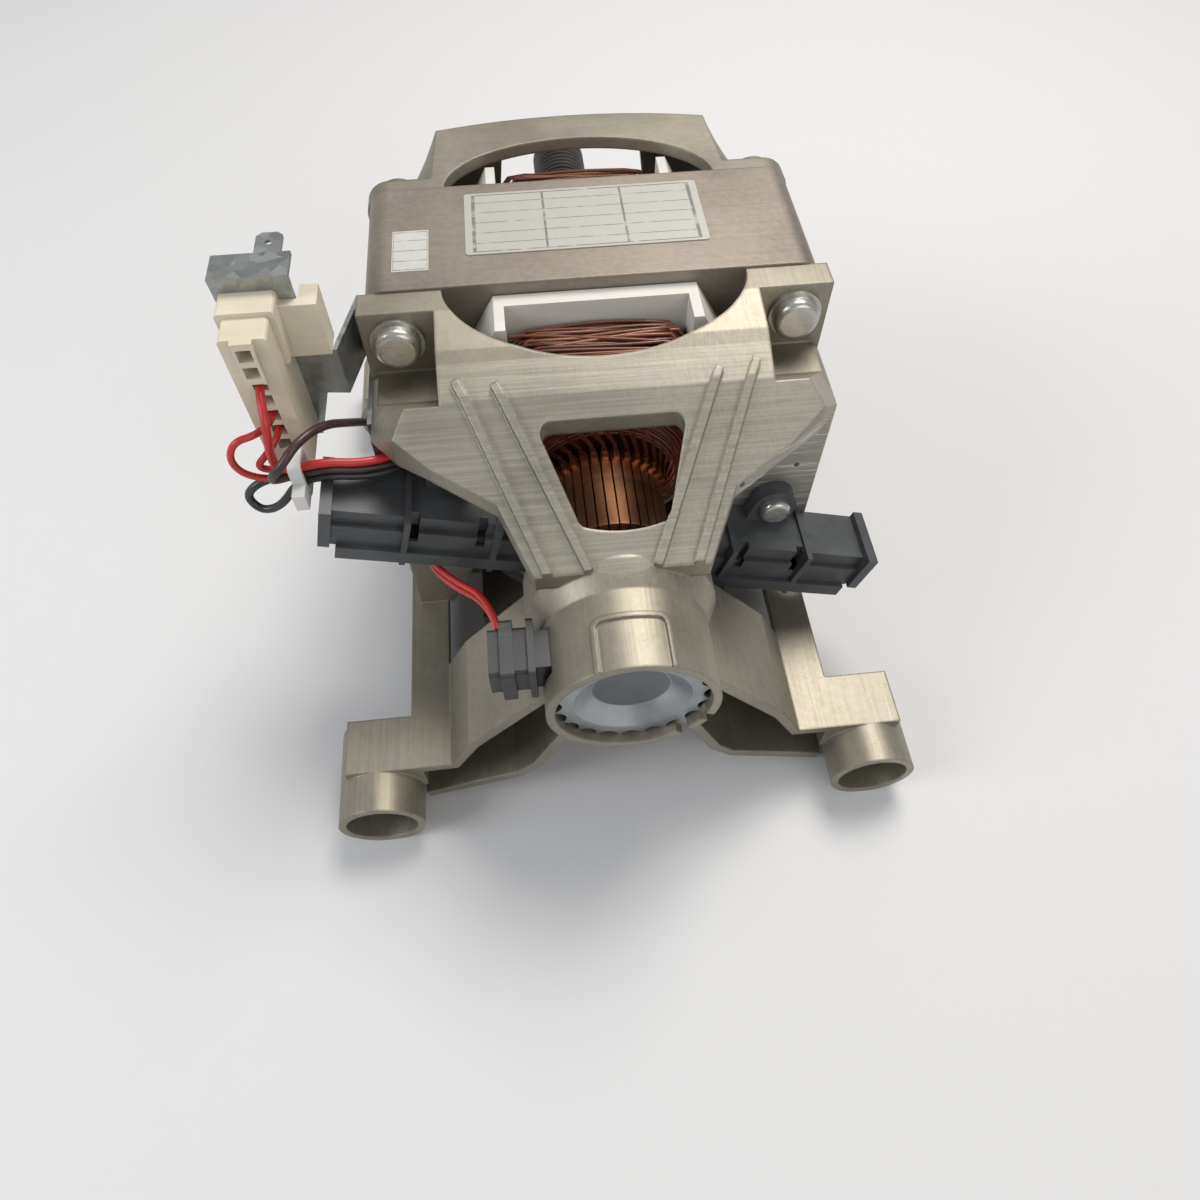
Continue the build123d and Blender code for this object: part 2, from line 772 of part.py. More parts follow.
    # Screw holes in the ears, tapped holes in the pads and the window for the leads
    with BuildSketch(station(front(-overrun))):
        with Locations(*screw_places):
            Circle(stack_hole_r)
    extrude(amount=ear_t + 2 * overrun, mode=Mode.SUBTRACT)
    with BuildSketch(station(front(bell_wall_reach - pad_t - overrun))):
        with Locations(*holder_screw_places):
            Circle(holder_screw_r + thread_gap)
        with Locations((lead_window_x, lead_window_z)):
            RectangleRounded(lead_window_width, lead_window_height, window_corner)
        with Locations((tacho_window_x, tacho_window_z)):
            RectangleRounded(tacho_window_width, tacho_window_height, window_corner)
    extrude(amount=pad_t + 2 * overrun, mode=Mode.SUBTRACT)
    with BuildSketch(Plane.YZ.offset(-bell_half_width - overrun)):
        with Locations((front(bracket_screw_reach), bracket_screw_z)):
            Circle(holder_screw_r + thread_gap)
    extrude(amount=bell_wall + 2 * overrun, mode=Mode.SUBTRACT)
save(front_bell, "front_bell")


# Rear bell: a tapering basket with a bearing boss
def shell_outline(shares, wall, reach):
    """Section of the rear shell, inset by the wall."""
    half = [(a * bell_half_width - wall, b * bell_half_height - wall * (b > 0.9)) for a, b in shares]
    lower = [(x, -z) for x, z in reversed(half)]
    with BuildSketch(station(rear(reach))) as section:
        Polygon(*mirrored(half + lower), align=None)
    return section.sketch


rear_upper = [(a * lug_x, b * lug_z) for a, b in rear_upper_shares] + [(leg_outer_x, leg_strip_z)]
rear_lower = [(a * lug_x, b * lug_z) for a, b in rear_lower_shares]
rear_leg_sections = {
    (name, side): leg_profile(points, side)
    for side in (-1, 1)
    for name, points in (("upper", rear_upper), ("lower", rear_lower))
}
rear_outer = [
    shell_outline(rear_root_shares, 0, rear_flange_t),
    shell_outline(rear_back_shares, 0, rear_shell_reach),
]
rear_inner = [
    shell_outline(rear_root_shares, rear_shell_wall, 0),
    shell_outline(rear_back_shares, rear_shell_wall, rear_shell_reach - rear_shell_wall),
]

with BuildPart() as rear_shell:
    loft(rear_outer, ruled=True)
    with BuildSketch(Plane.XY.offset(-bell_half_height)):
        with BuildLine():
            left = (-bell_half_width, rear(rear_shell_reach - 2 * rear_shell_bow))
            right = (bell_half_width, left[1])
            ThreePointArc(left, (0, rear(rear_shell_reach)), right)
            Polyline(right, (bell_half_width, rear(0)), (-bell_half_width, rear(0)), left)
        make_face()
    extrude(amount=2 * bell_half_height, mode=Mode.INTERSECT)

with BuildPart() as rear_room:
    loft(rear_inner, ruled=True)
    with BuildSketch(Plane.XY.offset(-bell_half_height)):
        with BuildLine():
            left = (-bell_half_width, rear(rear_shell_reach - 2 * rear_shell_bow - rear_shell_wall))
            right = (bell_half_width, left[1])
            ThreePointArc(left, (0, rear(rear_shell_reach - rear_shell_wall)), right)
            Polyline(right, (bell_half_width, rear(-overrun)), (-bell_half_width, rear(-overrun)), left)
        make_face()
    extrude(amount=2 * bell_half_height, mode=Mode.INTERSECT)

with BuildPart() as rear_bell:
    with BuildSketch(station(rear(rear_flange_t))):
        RectangleRounded(2 * bell_half_width, 2 * bell_half_height, bell_corner)
    extrude(amount=rear_flange_t)
    with BuildSketch(station(rear(rear_ear_t))):
        with Locations(*screw_places):
            Circle(screw_washer_r)
    extrude(amount=rear_ear_t)
    add(rear_shell.part)
    add(rear_room.part, mode=Mode.SUBTRACT)
    # Bearing boss on the back wall
    with BuildSketch(station(rear(rear_boss_reach))):
        Circle(rear_boss_r)
    extrude(amount=rear_boss_reach - rear_boss_root_reach)
    # Legs and lugs
    for side in (-1, 1):
        with BuildSketch(station(rear(rear_leg_reach))):
            add(rear_leg_sections["upper", side])
            add(rear_leg_sections["lower", side])
            Polygon(
                *[(side * x, z) for x, z in rear_upper[:-1]],
                (side * leg_outer_x, leg_strip_z),
                (side * leg_outer_x, rear_lower[-1][1]),
                *[(side * x, z) for x, z in reversed(rear_lower)],
                align=None,
            )
        extrude(amount=leg_sheet_t)
        with BuildSketch(station(rear(rear_leg_reach))):
            add(rear_leg_sections["upper", side])
            add(rear_leg_sections["lower", side])
        extrude(amount=rear_leg_reach)
        with BuildSketch(station(rear(rear_leg_reach))):
            with Locations((side * (leg_outer_x - leg_sheet_t + lug_x + lug_top_half) / 2, lug_z + lug_r / 2)):
                Rectangle(lug_x + lug_top_half - leg_outer_x + leg_sheet_t, lug_r)
        extrude(amount=rear_leg_reach - rear_lug_reach + lug_length)
        with BuildSketch(station(rear(rear_lug_reach))):
            with Locations((side * lug_x, lug_z)):
                Circle(lug_r)
        extrude(amount=lug_length)
    add(rear_room.part, mode=Mode.SUBTRACT)
    # Boss comes back inside the shell, then its bores
    with BuildSketch(station(rear(rear_boss_reach))):
        Circle(rear_boss_r)
    extrude(amount=rear_boss_reach - rear_boss_root_reach)
    with BuildSketch(station(rear(rear_boss_reach - rear_lip_t))):
        Circle(rear_bearing_r + thread_gap)
    extrude(amount=rear_boss_reach, mode=Mode.SUBTRACT)
    with BuildSketch(station(rear(rear_boss_reach + overrun))):
        Circle(rear_lip_r)
    extrude(amount=rear_boss_reach, mode=Mode.SUBTRACT)
    for side in (-1, 1):
        with BuildSketch(station(rear(rear_lug_reach + overrun))):
            with Locations((side * lug_x, lug_z)):
                Circle(lug_bore_r)
        extrude(amount=lug_length + 2 * overrun, mode=Mode.SUBTRACT)
    # Openings above and below, windows in the back wall and in the sides
    with BuildSketch(Plane.XY.offset(-bell_half_height - overrun)):
        with Locations((0, rear(0))):
            Ellipse(rear_opening_half, rear_opening_reach)
    rear_cut_height = bell_half_height - slot_outer_r + 2 * overrun
    extrude(amount=rear_cut_height, mode=Mode.SUBTRACT)
    with BuildSketch(Plane.XY.offset(bell_half_height + overrun)):
        with Locations((0, rear(0))):
            Ellipse(rear_opening_half, rear_opening_reach)
    extrude(amount=-rear_cut_height, mode=Mode.SUBTRACT)
    for up in (-1, 1):
        with BuildSketch(station(rear(rear_shell_reach + overrun))):
            window_back = Polygon(
                (-rear_window_half, up * rear_window_top_z),
                (rear_window_half, up * rear_window_top_z),
                (rear_window_low_half, up * rear_window_bottom_z),
                (-rear_window_low_half, up * rear_window_bottom_z),
                align=None,
            )
            fillet(window_back.vertices(), window_corner)
        extrude(amount=3 * rear_shell_wall, mode=Mode.SUBTRACT)
    with BuildSketch(Plane.YZ.offset(-bell_half_width - overrun)):
        with Locations((rear(rear_flange_t + rear_side_window_length / 2 + rear_shell_wall / 2), 0)):
            RectangleRounded(rear_side_window_length, rear_side_window_height, window_corner)
    extrude(amount=2 * (bell_half_width + overrun), mode=Mode.SUBTRACT)
    with BuildSketch(station(rear(rear_ear_t + overrun))):
        with Locations(*screw_places):
            Circle(screw_r + thread_gap)
    extrude(amount=rear_ear_t + 2 * overrun, mode=Mode.SUBTRACT)
save(rear_bell, "rear_bell")


# Bearings
def make_bearing(outer_r, bore_r, thickness, y, count, name):
    """Deep-groove ball bearing whose front face is at y, saved as rings and balls."""
    space = outer_r - bore_r
    middle_r = bore_r + space / 2
    ball_r = ring_share * space
    middle_y = y + thickness / 2
    with BuildPart() as groove:
        with BuildSketch(Plane.XY):
            with Locations((middle_r, middle_y)):
                Circle(ball_r + ball_gap)
        revolve(axis=Axis.Y)
    half_land = space * ring_share
    rings = (("outer_ring", outer_r - half_land, outer_r), ("inner_ring", bore_r, bore_r + half_land))
    for ring_name, inner, outer in rings:
        with BuildPart() as ring:
            with BuildSketch(station(y + thickness)):
                Circle(outer)
                Circle(inner, mode=Mode.SUBTRACT)
            extrude(amount=thickness)
            add(groove.part, mode=Mode.SUBTRACT)
        save(ring, f"{name}_{ring_name}")
    with BuildPart() as balls:
        with Locations(Plane(origin=(0, middle_y, 0), z_dir=(0, 1, 0))):
            with PolarLocations(middle_r, count):
                Sphere(ball_r)
    save(balls, f"{name}_balls")


front_bearing_y = front(boss_front_reach - mouth_depth)
rear_bearing_y = rear(rear_boss_reach - rear_lip_t - rear_bearing_t)
make_bearing(
    front_bearing_r, front_bearing_bore_r, front_bearing_t, front_bearing_y, front_ball_count, "front_bearing"
)
make_bearing(
    rear_bearing_r, rear_bearing_bore_r, rear_bearing_t, rear_bearing_y, rear_ball_count, "rear_bearing"
)

# Rotor: stepped shaft
shaft_end = pulley_length / 2 + shaft_end_past_pulley
with BuildPart() as shaft:
    with BuildSketch(Plane.XY):
        with BuildLine():
            Polyline(
                (0, front(shaft_front_reach)),
                (shaft_magnet_r, front(shaft_front_reach)),
                (shaft_magnet_r, front_bearing_y),
                (shaft_front_r, front_bearing_y),
                (shaft_front_r, front_bearing_y + front_bearing_t),
                (shaft_main_r, front_bearing_y + front_bearing_t),
                (shaft_main_r, rear_bearing_y + rear_bearing_t),
                (shaft_pulley_r, rear_bearing_y + rear_bearing_t),
                (shaft_pulley_r, shaft_end - shaft_chamfer),
                (shaft_pulley_r - shaft_chamfer, shaft_end),
                (0, shaft_end),
                close=True,
            )
        make_face()
    revolve(axis=Axis.Y)
save(shaft, "shaft")

armature_r = stator_bore_r - air_gap
slot_place_r = armature_slot_place_share * armature_r
with BuildPart() as armature_core:
    with BuildSketch(station(stack_rear)):
        Circle(armature_r)
        with PolarLocations(slot_place_r, armature_slots):
            Circle(armature_slot_r, mode=Mode.SUBTRACT)
        with PolarLocations((slot_place_r + armature_r) / 2, armature_slots):
            Rectangle(armature_r - slot_place_r + overrun, armature_slot_mouth, mode=Mode.SUBTRACT)
        Circle(shaft_main_r, mode=Mode.SUBTRACT)
    extrude(amount=stack_length)
save(armature_core, "armature_core")


def head_outline(root_y, nose_y):
    """Half section of a winding head between the core's face and the head's nose."""
    root_r = head_root_share * armature_r
    nose_r = head_nose_share * armature_r
    shoulder_y = (root_y + nose_y) / 2
    with BuildSketch(Plane.XY) as outline:
        with BuildLine():
            Line((shaft_main_r, root_y), (root_r, root_y))
            Line((root_r, root_y), (root_r, shoulder_y))
            ThreePointArc(
                (root_r, shoulder_y),
                (nose_r + (root_r - nose_r) * sin(pi / 4), shoulder_y + (nose_y - shoulder_y) * cos(pi / 4)),
                (nose_r, nose_y),
            )
            Line((nose_r, nose_y), (shaft_main_r, nose_y))
            Line((shaft_main_r, nose_y), (shaft_main_r, root_y))
        make_face()
    return outline.sketch


with BuildPart() as armature_winding:
    for root_y, nose_y in (
        (stack_front, front(front_head_length)),
        (stack_rear, rear(rear_head_length)),
    ):
        with BuildSketch(Plane.XY):
            add(head_outline(root_y, nose_y))
        revolve(axis=Axis.Y)
    with BuildSketch(station(stack_rear)):
        with PolarLocations(slot_place_r, armature_slots):
            Circle(armature_slot_r - coil_clearance)
    extrude(amount=stack_length)
save(armature_winding, "armature_winding")

# Commutator: moulded hub, copper bars with their hooks
with BuildPart() as commutator_hub:
    with BuildSketch(station(front(front_head_length))):
        Circle(commutator_inner_r)
        Circle(shaft_main_r, mode=Mode.SUBTRACT)
    extrude(amount=commutator_front_reach + hub_overhang - front_head_length)
save(commutator_hub, "commutator_hub")

bar_step = 360 / commutator_bars_count
bar_gap_angle = degrees(mica_gap / commutator_r)
bar_face = ring_sector(commutator_inner_r, commutator_r, 0, (bar_step - bar_gap_angle) / 2)
with BuildPart() as commutator_bars:
    with BuildSketch(station(front(commutator_rear_reach))):
        with PolarLocations(0, commutator_bars_count):
            add(bar_face)
    extrude(amount=commutator_front_reach - commutator_rear_reach)
    with BuildSketch(station(front(commutator_rear_reach))):
        with PolarLocations(commutator_r + hook_rise / 2 - thread_gap, commutator_bars_count):
            Rectangle(hook_rise, hook_width)
    extrude(amount=hook_length)
save(commutator_bars, "commutator_bars")

# Poly-V pulley
pulley_start = -pulley_length / 2
grooves_length = pulley_grooves * pulley_groove_pitch
first_groove = pulley_length / 2 - pulley_flange_t - grooves_length
groove_points = []
for i in range(pulley_grooves):
    groove_y = first_groove + i * pulley_groove_pitch
    groove_points.append((pulley_r, groove_y + pulley_groove_pitch / 8))
    groove_points.append((pulley_r - pulley_groove_depth, groove_y + pulley_groove_pitch / 2))
    groove_points.append((pulley_r, groove_y + pulley_groove_pitch * 7 / 8))
with BuildPart() as pulley:
    with BuildSketch(Plane.XY):
        Polygon(
            (shaft_pulley_r, pulley_start),
            (pulley_flange_r, pulley_start),
            (pulley_flange_r, pulley_start + pulley_flange_t),
            (pulley_r, pulley_start + 2 * pulley_flange_t),
            *groove_points,
            (pulley_r, pulley_length / 2),
            (shaft_pulley_r, pulley_length / 2),
            align=None,
        )
    revolve(axis=Axis.Y)
save(pulley, "belt_pulley")

# Tacho: ring magnet on the shaft's end, coil in the boss, socket and plug beside it
with BuildPart() as tacho_magnet:
    with BuildSketch(station(front(shaft_front_reach - magnet_t))):
        Circle(magnet_r)
        Circle(shaft_magnet_r, mode=Mode.SUBTRACT)
    extrude(amount=magnet_t - sheet_gap)
save(tacho_magnet, "tacho_magnet")

header_x = plug_inner_x - header_t / 2
plug_front_reach = boss_front_reach - plug_drop
plug_z = tacho_slot_z + coil_clearance
with BuildPart() as tacho_coil:
    with BuildSketch(station(front(tacho_back_reach))):
        Circle(mouth_r - sheet_gap)
    extrude(amount=tacho_coil_t)
    with BuildSketch(station(front(tacho_back_reach + sheet_gap))):
        with Locations(((header_x - mouth_r / 2) / 2, tacho_slot_z)):
            Rectangle(-header_x - mouth_r / 2, tacho_slot_height - 2 * sheet_gap)
    extrude(amount=tacho_coil_t - sheet_gap)
    with BuildSketch(Plane.YZ.offset(plug_inner_x - header_t)):
        with Locations((front(plug_front_reach - plug_length / 2), plug_z)):
            RectangleRounded(plug_length, plug_height, plug_corner)
    extrude(amount=header_t)
    with BuildSketch(station(front(tacho_back_reach - overrun))):
        Circle(tacho_coil_inner_r)
    extrude(amount=tacho_coil_t + 2 * overrun, mode=Mode.SUBTRACT)
save(tacho_coil, "tacho_coil")

plug_outer_x = plug_inner_x - header_t - plug_width
plug_back_y = front(plug_front_reach - plug_length)
with BuildPart() as tacho_plug:
    with BuildSketch(Plane.YZ.offset(plug_outer_x)):
        with Locations((front(plug_front_reach - plug_length / 2), plug_z)):
            RectangleRounded(plug_length - 2 * header_wall, plug_height - 2 * header_wall, plug_corner)
    extrude(amount=plug_width)
    with BuildSketch(Plane.YZ.offset(plug_inner_x - header_t - header_length)):
        with Locations((front(plug_front_reach - plug_length / 2), plug_z)):
            RectangleRounded(plug_length, plug_height, plug_corner)
    extrude(amount=header_length / 2)
save(tacho_plug, "tacho_plug")

# Pressed steel cap with a scalloped rim
cap_r = mouth_r - cap_edge_gap
cap_rim_reach = boss_front_reach - cap_rim_drop
cap_face = [
    (0, front(cap_rim_reach - cap_dish_depth)),
    (cap_flat_r, front(cap_rim_reach - cap_dish_depth)),
    (cap_slope_r, front(cap_rim_reach)),
    (cap_r, front(cap_rim_reach)),
]
with BuildPart() as bearing_cap:
    with BuildSketch(Plane.XY):
        Polygon(*cap_face, *[(r, y + cap_t) for r, y in reversed(cap_face)], align=None)
    revolve(axis=Axis.Y)
    with BuildSketch(station(front(cap_rim_reach - 2 * cap_t))):
        with PolarLocations(cap_r + cap_scallop_r - cap_scallop_depth, cap_teeth):
            Circle(cap_scallop_r)
    extrude(amount=cap_dish_depth, mode=Mode.SUBTRACT)
save(bearing_cap, "bearing_cap")


# Brush gear
def make_brush_holder(side):
    """Moulded holder of one brush, along the tilted brush line; side is 1 or -1."""
    middle = side * (holder_inner_r + holder_outer_r) / 2
    length = holder_outer_r - holder_inner_r
    half_height = holder_height / 2
    depth = holder_front_reach - bell_wall_reach
    with BuildPart() as holder:
        with BuildSketch(tilted(bell_wall_reach)):
            with Locations((middle, 0)):
                Rectangle(length, holder_height)
        extrude(amount=depth - holder_step_depth)
        with BuildSketch(tilted(bell_wall_reach)):
            with Locations((middle, (holder_step_z - half_height) / 2)):
                Rectangle(length, holder_step_z + half_height)
        extrude(amount=depth - holder_step_depth / 2)
        with BuildSketch(tilted(bell_wall_reach)):
            with Locations((middle, (-holder_step_z - half_height) / 2)):
                Rectangle(length, half_height - holder_step_z)
        extrude(amount=depth)
        # Cross ribs and the end plate
        with BuildSketch(tilted(bell_wall_reach)):
            for place in holder_rib_places:
                with Locations((side * place, 0)):
                    Rectangle(holder_rib_t, holder_height + 2 * holder_rib_rise)
            with Locations((side * (holder_outer_r - holder_end_t / 2), holder_end_rise / 2)):
                Rectangle(holder_end_t, holder_height + holder_end_rise)
        extrude(amount=depth)
        # Ear with its eyelet
        with BuildSketch(tilted(bell_wall_reach)):
            with Locations((side * ear_place, ear_rise)):
                Circle(ear_outer_r)
            with Locations((side * ear_place, ear_rise / 2)):
                Rectangle(2 * ear_outer_r, ear_rise)
        extrude(amount=ear_plate_t)
        with BuildSketch(tilted(bell_wall_reach)):
            with Locations((side * ear_place, ear_rise)):
                Circle(holder_screw_r + sheet_gap)
        extrude(amount=ear_plate_t, mode=Mode.SUBTRACT)
        # Slots beside the ear, the brush's channel and the recess at the outer end
        with BuildSketch(tilted(bell_wall_reach + depth - holder_step_depth - ear_slot_depth)):
            for beside in (-1, 1):
                with Locations((side * ear_place + beside * (ear_outer_r + ear_slot_width), half_height / 2)):
                    Rectangle(ear_slot_width, half_height)
        extrude(amount=depth, mode=Mode.SUBTRACT)
        channel_end = holder_outer_r - holder_end_t
        with BuildSketch(tilted(brush_station_reach - brush_width / 2 - brush_clearance)):
            with Locations((side * (channel_end / 2 + overrun), 0)):
                Rectangle(channel_end - 2 * overrun, brush_height + 2 * brush_clearance)
        extrude(amount=brush_width + 2 * brush_clearance, mode=Mode.SUBTRACT)
        with BuildSketch(tilted(holder_front_reach - holder_recess)):
            with Locations((side * (holder_outer_r - holder_recess / 2), (holder_recess - holder_height) / 2)):
                Rectangle(holder_recess, holder_recess)
        extrude(amount=holder_recess, mode=Mode.SUBTRACT)
    return holder


def make_brush(side):
    """Carbon brush whose tip follows the commutator."""
    tip_r = commutator_r + brush_gap
    with BuildPart() as brush:
        with BuildSketch(tilted(brush_station_reach - brush_width / 2)):
            with Locations((side * (tip_r + brush_length / 2 - overrun / 2), 0)):
                Rectangle(brush_length + overrun, brush_height)
        extrude(amount=brush_width)
        with BuildSketch(station(front(brush_station_reach - brush_width / 2))):
            Circle(tip_r)
        extrude(amount=brush_width, mode=Mode.SUBTRACT)
    return brush


def make_brush_spring(side):
    """Coil spring between the brush's tail and the holder's end plate."""
    start = commutator_r + brush_gap + brush_length + sheet_gap + spring_wire_r
    end = holder_outer_r - holder_end_t - sheet_gap - spring_wire_r
    start_x, start_z = tilted_place(side * start, 0)
    with BuildPart() as spring:
        with BuildLine() as coil_line:
            Helix(
                pitch=(end - start) / spring_turns,
                height=end - start,
                radius=spring_r - spring_wire_r,
                center=(start_x, front(brush_station_reach), start_z),
                direction=(side * tilt_cos, 0, -side * tilt_sin),
            )
        with BuildSketch(Plane(origin=coil_line.line @ 0, z_dir=coil_line.line % 0)):
            RegularPolygon(spring_wire_r, 4)
        sweep(path=coil_line.line, is_frenet=True)
    return spring


for side, place in ((-1, "left"), (1, "right")):
    save(make_brush_holder(side), f"{place}_brush_holder")
    save(make_brush(side), f"{place}_brush")
    save(make_brush_spring(side), f"{place}_brush_spring")

with BuildPart() as brush_holder_screws:
    with BuildSketch(station(front(bell_wall_reach + ear_plate_t))):
        with Locations(*holder_screw_places):
            Circle(holder_screw_head_r)
    extrude(amount=holder_screw_head_t)
    fillet(brush_holder_screws.edges().group_by(Axis.Y)[0], holder_screw_head_t / 2)
    with BuildSketch(station(front(bell_wall_reach + ear_plate_t - holder_screw_length))):
        with Locations(*holder_screw_places):
            Circle(holder_screw_r)
    extrude(amount=holder_screw_length)
save(brush_holder_screws, "brush_holder_screws")

# Four long screws through the bells and the stack
with BuildPart() as stator_screws:
    with BuildSketch(station(front(ear_t))):
        with Locations(*screw_places):
            Circle(screw_washer_r)
    extrude(amount=screw_washer_t)
    with BuildSketch(station(front(ear_t + screw_washer_t))):
        with Locations(*screw_places):
            Circle(screw_head_r)
    extrude(amount=screw_head_t)
    fillet(stator_screws.edges().group_by(Axis.Y)[0], screw_head_t / 2)
    with BuildSketch(station(rear(screw_tail))):
        with Locations(*screw_places):
            Circle(screw_r)
    extrude(amount=stack_length + screw_tail + ear_t)
save(stator_screws, "stator_screws")

# Connector bracket: foot on the bell's side, bent arm, upright plate with lip and earth tab
bracket_x = -bell_half_width
with BuildPart() as connector_bracket:
    with BuildSketch(Plane.YZ.offset(bracket_x - bracket_t)):
        Polygon(
            (front(-arm_root_rear), arm_top_z),
            (front(-arm_root_rear), arm_bottom_z - 2 * bracket_relief),
            (front(bracket_relief), bracket_foot_bottom_z),
            (front(bracket_foot_front_reach), bracket_foot_bottom_z),
            (front(bracket_foot_front_reach), arm_bottom_z - bracket_relief),
            (front(bracket_relief - arm_root_rear), arm_bottom_z - bracket_relief),
            (front(bracket_relief - arm_root_rear), arm_top_z),
            align=None,
        )
    extrude(amount=bracket_t)
    with BuildSketch(Plane.XY.offset(arm_bottom_z)):
        with BuildLine():
            Polyline(
                (bracket_x - bracket_t / 2, front(-arm_root_rear)),
                (arm_bend_x, front(arm_bend_reach - bracket_t / 2)),
                (plate_right_x - bracket_relief, front(plate_reach - bracket_t / 2)),
            )
        trace(line_width=bracket_t)
    extrude(amount=arm_top_z - arm_bottom_z)
    with BuildSketch(station(front(plate_reach - bracket_t))):
        Polygon(
            (plate_left_x, plate_top_z),
            (plate_right_x, plate_top_z),
            (plate_right_x, arm_bottom_z),
            (connector_x + connector_width / 2, plate_bottom_z),
            (connector_x - connector_width / 2, plate_bottom_z),
            align=None,
        )
    extrude(amount=bracket_t)
    with BuildSketch(Plane.XY.offset(plate_top_z - bracket_t)):
        with Locations(((plate_left_x + plate_right_x) / 2, front(plate_reach - lip_depth / 2))):
            Rectangle(plate_right_x - plate_left_x, lip_depth)
    extrude(amount=bracket_t)
    tab_start = front(plate_reach - lip_depth)
    with BuildSketch(Plane.XY.offset(plate_top_z - earth_tab_t)):
        half_tab = earth_tab_width / 2
        tab_outline = [
            (half_tab, -overrun / 2),
            (half_tab, earth_tab_length - earth_tab_taper),
            (half_tab - earth_tab_taper, earth_tab_length),
        ]
        Polygon(*[(earth_tab_x + x, tab_start + y) for x, y in mirrored(tab_outline)], align=None)
        with Locations((earth_tab_x, tab_start + earth_tab_length / 2)):
            Circle(earth_tab_hole_r, mode=Mode.SUBTRACT)
    extrude(amount=earth_tab_t)
    with BuildSketch(Plane.YZ.offset(bracket_x - bracket_t - overrun)):
        with Locations((front(bracket_screw_reach), bracket_screw_z)):
            Circle(holder_screw_r + sheet_gap)
    extrude(amount=bracket_t + 2 * overrun, mode=Mode.SUBTRACT)
save(connector_bracket, "connector_bracket")

with BuildPart() as bracket_screw:
    with BuildSketch(Plane.YZ.offset(bracket_x - bracket_t - holder_screw_head_t)):
        with Locations((front(bracket_screw_reach), bracket_screw_z)):
            Circle(holder_screw_head_r)
    extrude(amount=holder_screw_head_t)
    fillet(bracket_screw.edges().group_by(Axis.X)[0], holder_screw_head_t / 2)
    with BuildSketch(Plane.YZ.offset(bracket_x - bracket_t)):
        with Locations((front(bracket_screw_reach), bracket_screw_z)):
            Circle(holder_screw_r)
    extrude(amount=bracket_screw_length)
save(bracket_screw, "bracket_screw")

# Connector housing with one row of ports, and its terminals
port_middle = (connector_bottom_z + connector_top_z) / 2
port_places = [port_middle + (i - (port_count - 1) / 2) * port_pitch for i in range(port_count)]
connector_front = plate_reach + connector_depth
with BuildPart() as connector_housing:
    with BuildSketch(station(front(plate_reach))):
        with Locations((connector_x, port_middle)):
            RectangleRounded(connector_width, connector_top_z - connector_bottom_z, connector_corner)
    extrude(amount=connector_depth)
    with BuildSketch(station(front(plate_reach))):
        with Locations((connector_x, connector_top_z - connector_head_height / 2)):
            RectangleRounded(
                connector_width + 2 * connector_head_grow,
                connector_head_height + 2 * connector_head_grow,
                connector_corner,
            )
    extrude(amount=connector_depth / 2)
    # Latch on the front of the head, and the clip that hooks round the plate's edge
    with BuildSketch(station(front(plate_reach))):
        with Locations((connector_x, connector_top_z - latch_height / 2)):
            Rectangle(latch_width, latch_height)
    extrude(amount=connector_depth + latch_rise)
    with BuildSketch(station(front(plate_reach))):
        with Locations(((connector_x + plate_right_x + clip_reach) / 2, arm_top_z + clip_height / 2)):
            Rectangle(plate_right_x + clip_reach - connector_x, clip_height)
    extrude(amount=clip_width / 2)
    with BuildSketch(station(front(plate_reach - clip_width))):
        with Locations((plate_right_x + sheet_gap + clip_reach / 2, arm_top_z + clip_height / 2)):
            Rectangle(clip_reach - 2 * sheet_gap, clip_height)
    extrude(amount=clip_width * 3 / 2)
    with BuildSketch(station(front(connector_front + latch_rise - port_depth))):
        with Locations(*[(connector_x, z) for z in port_places]):
            Rectangle(port_size, port_size)
    extrude(amount=port_depth + overrun, mode=Mode.SUBTRACT)
save(connector_housing, "connector_housing")

with BuildPart() as connector_terminals:
    with BuildSketch(station(front(connector_front + latch_rise - port_depth))):
        with Locations(*[(connector_x, z) for z in port_places]):
            Rectangle(terminal_size, terminal_size)
    extrude(amount=terminal_length)
save(connector_terminals, "connector_terminals")
terminal_front = front(connector_front + latch_rise - port_depth + terminal_length)

# Plates on the stack's top
with BuildPart() as rating_plate:
    with BuildSketch(Plane.XY.offset(stack_height / 2)):
        with Locations((rating_plate_x, stack_front + rating_plate_reach)):
            RectangleRounded(rating_plate_length, rating_plate_width, connector_corner)
    extrude(amount=rating_plate_t)
save(rating_plate, "rating_plate")
with BuildPart() as small_label:
    with BuildSketch(Plane.XY.offset(stack_height / 2)):
        with Locations((small_label_x, stack_front + small_label_reach)):
            Rectangle(small_label_width, small_label_length)
    extrude(amount=small_label_t)
save(small_label, "small_label")


# Leads: each leaves its terminal, runs through the tie, over the left brush holder and
# through the upper window of the bell. Three end at the field coil's frame; the two of the
# tacho go down behind the pad, out through the lower window and back to the plug.
# Their routes are points picked by hand: X, distance in front of the stack, Z.
shared_route = [
    (-80.0, 38.0, 31.9),
    (-71.5, 38.2, 33.6),
    (-63.5, 36.6, 30.3),
    (-55.3, 32.8, 28.0),
    (-50.8, 27.2, 27.0),
]
coil_route = [(-49.6, 20.6, 26.6), (-47.8, 16.2, 26.4)]
coil_end_reach = 14.0
coil_end_z = 26.2
lane_step = 2 * lead_r + sheet_gap


def cheek_x(z):
    """Outer face of the coil frame's cheek at a height between its foot and its waist."""
    foot_z = frame_foot_share * frame_top_z
    waist_z = frame_waist_share * frame_top_z
    foot_x = frame_foot_width_share * frame_half_width
    return foot_x + (frame_half_width - foot_x) * (z - foot_z) / (waist_z - foot_z)


def placed(points):
    """Route points given by their distance in front of the stack."""
    return [(x, front(reach), z) for x, reach, z in points]


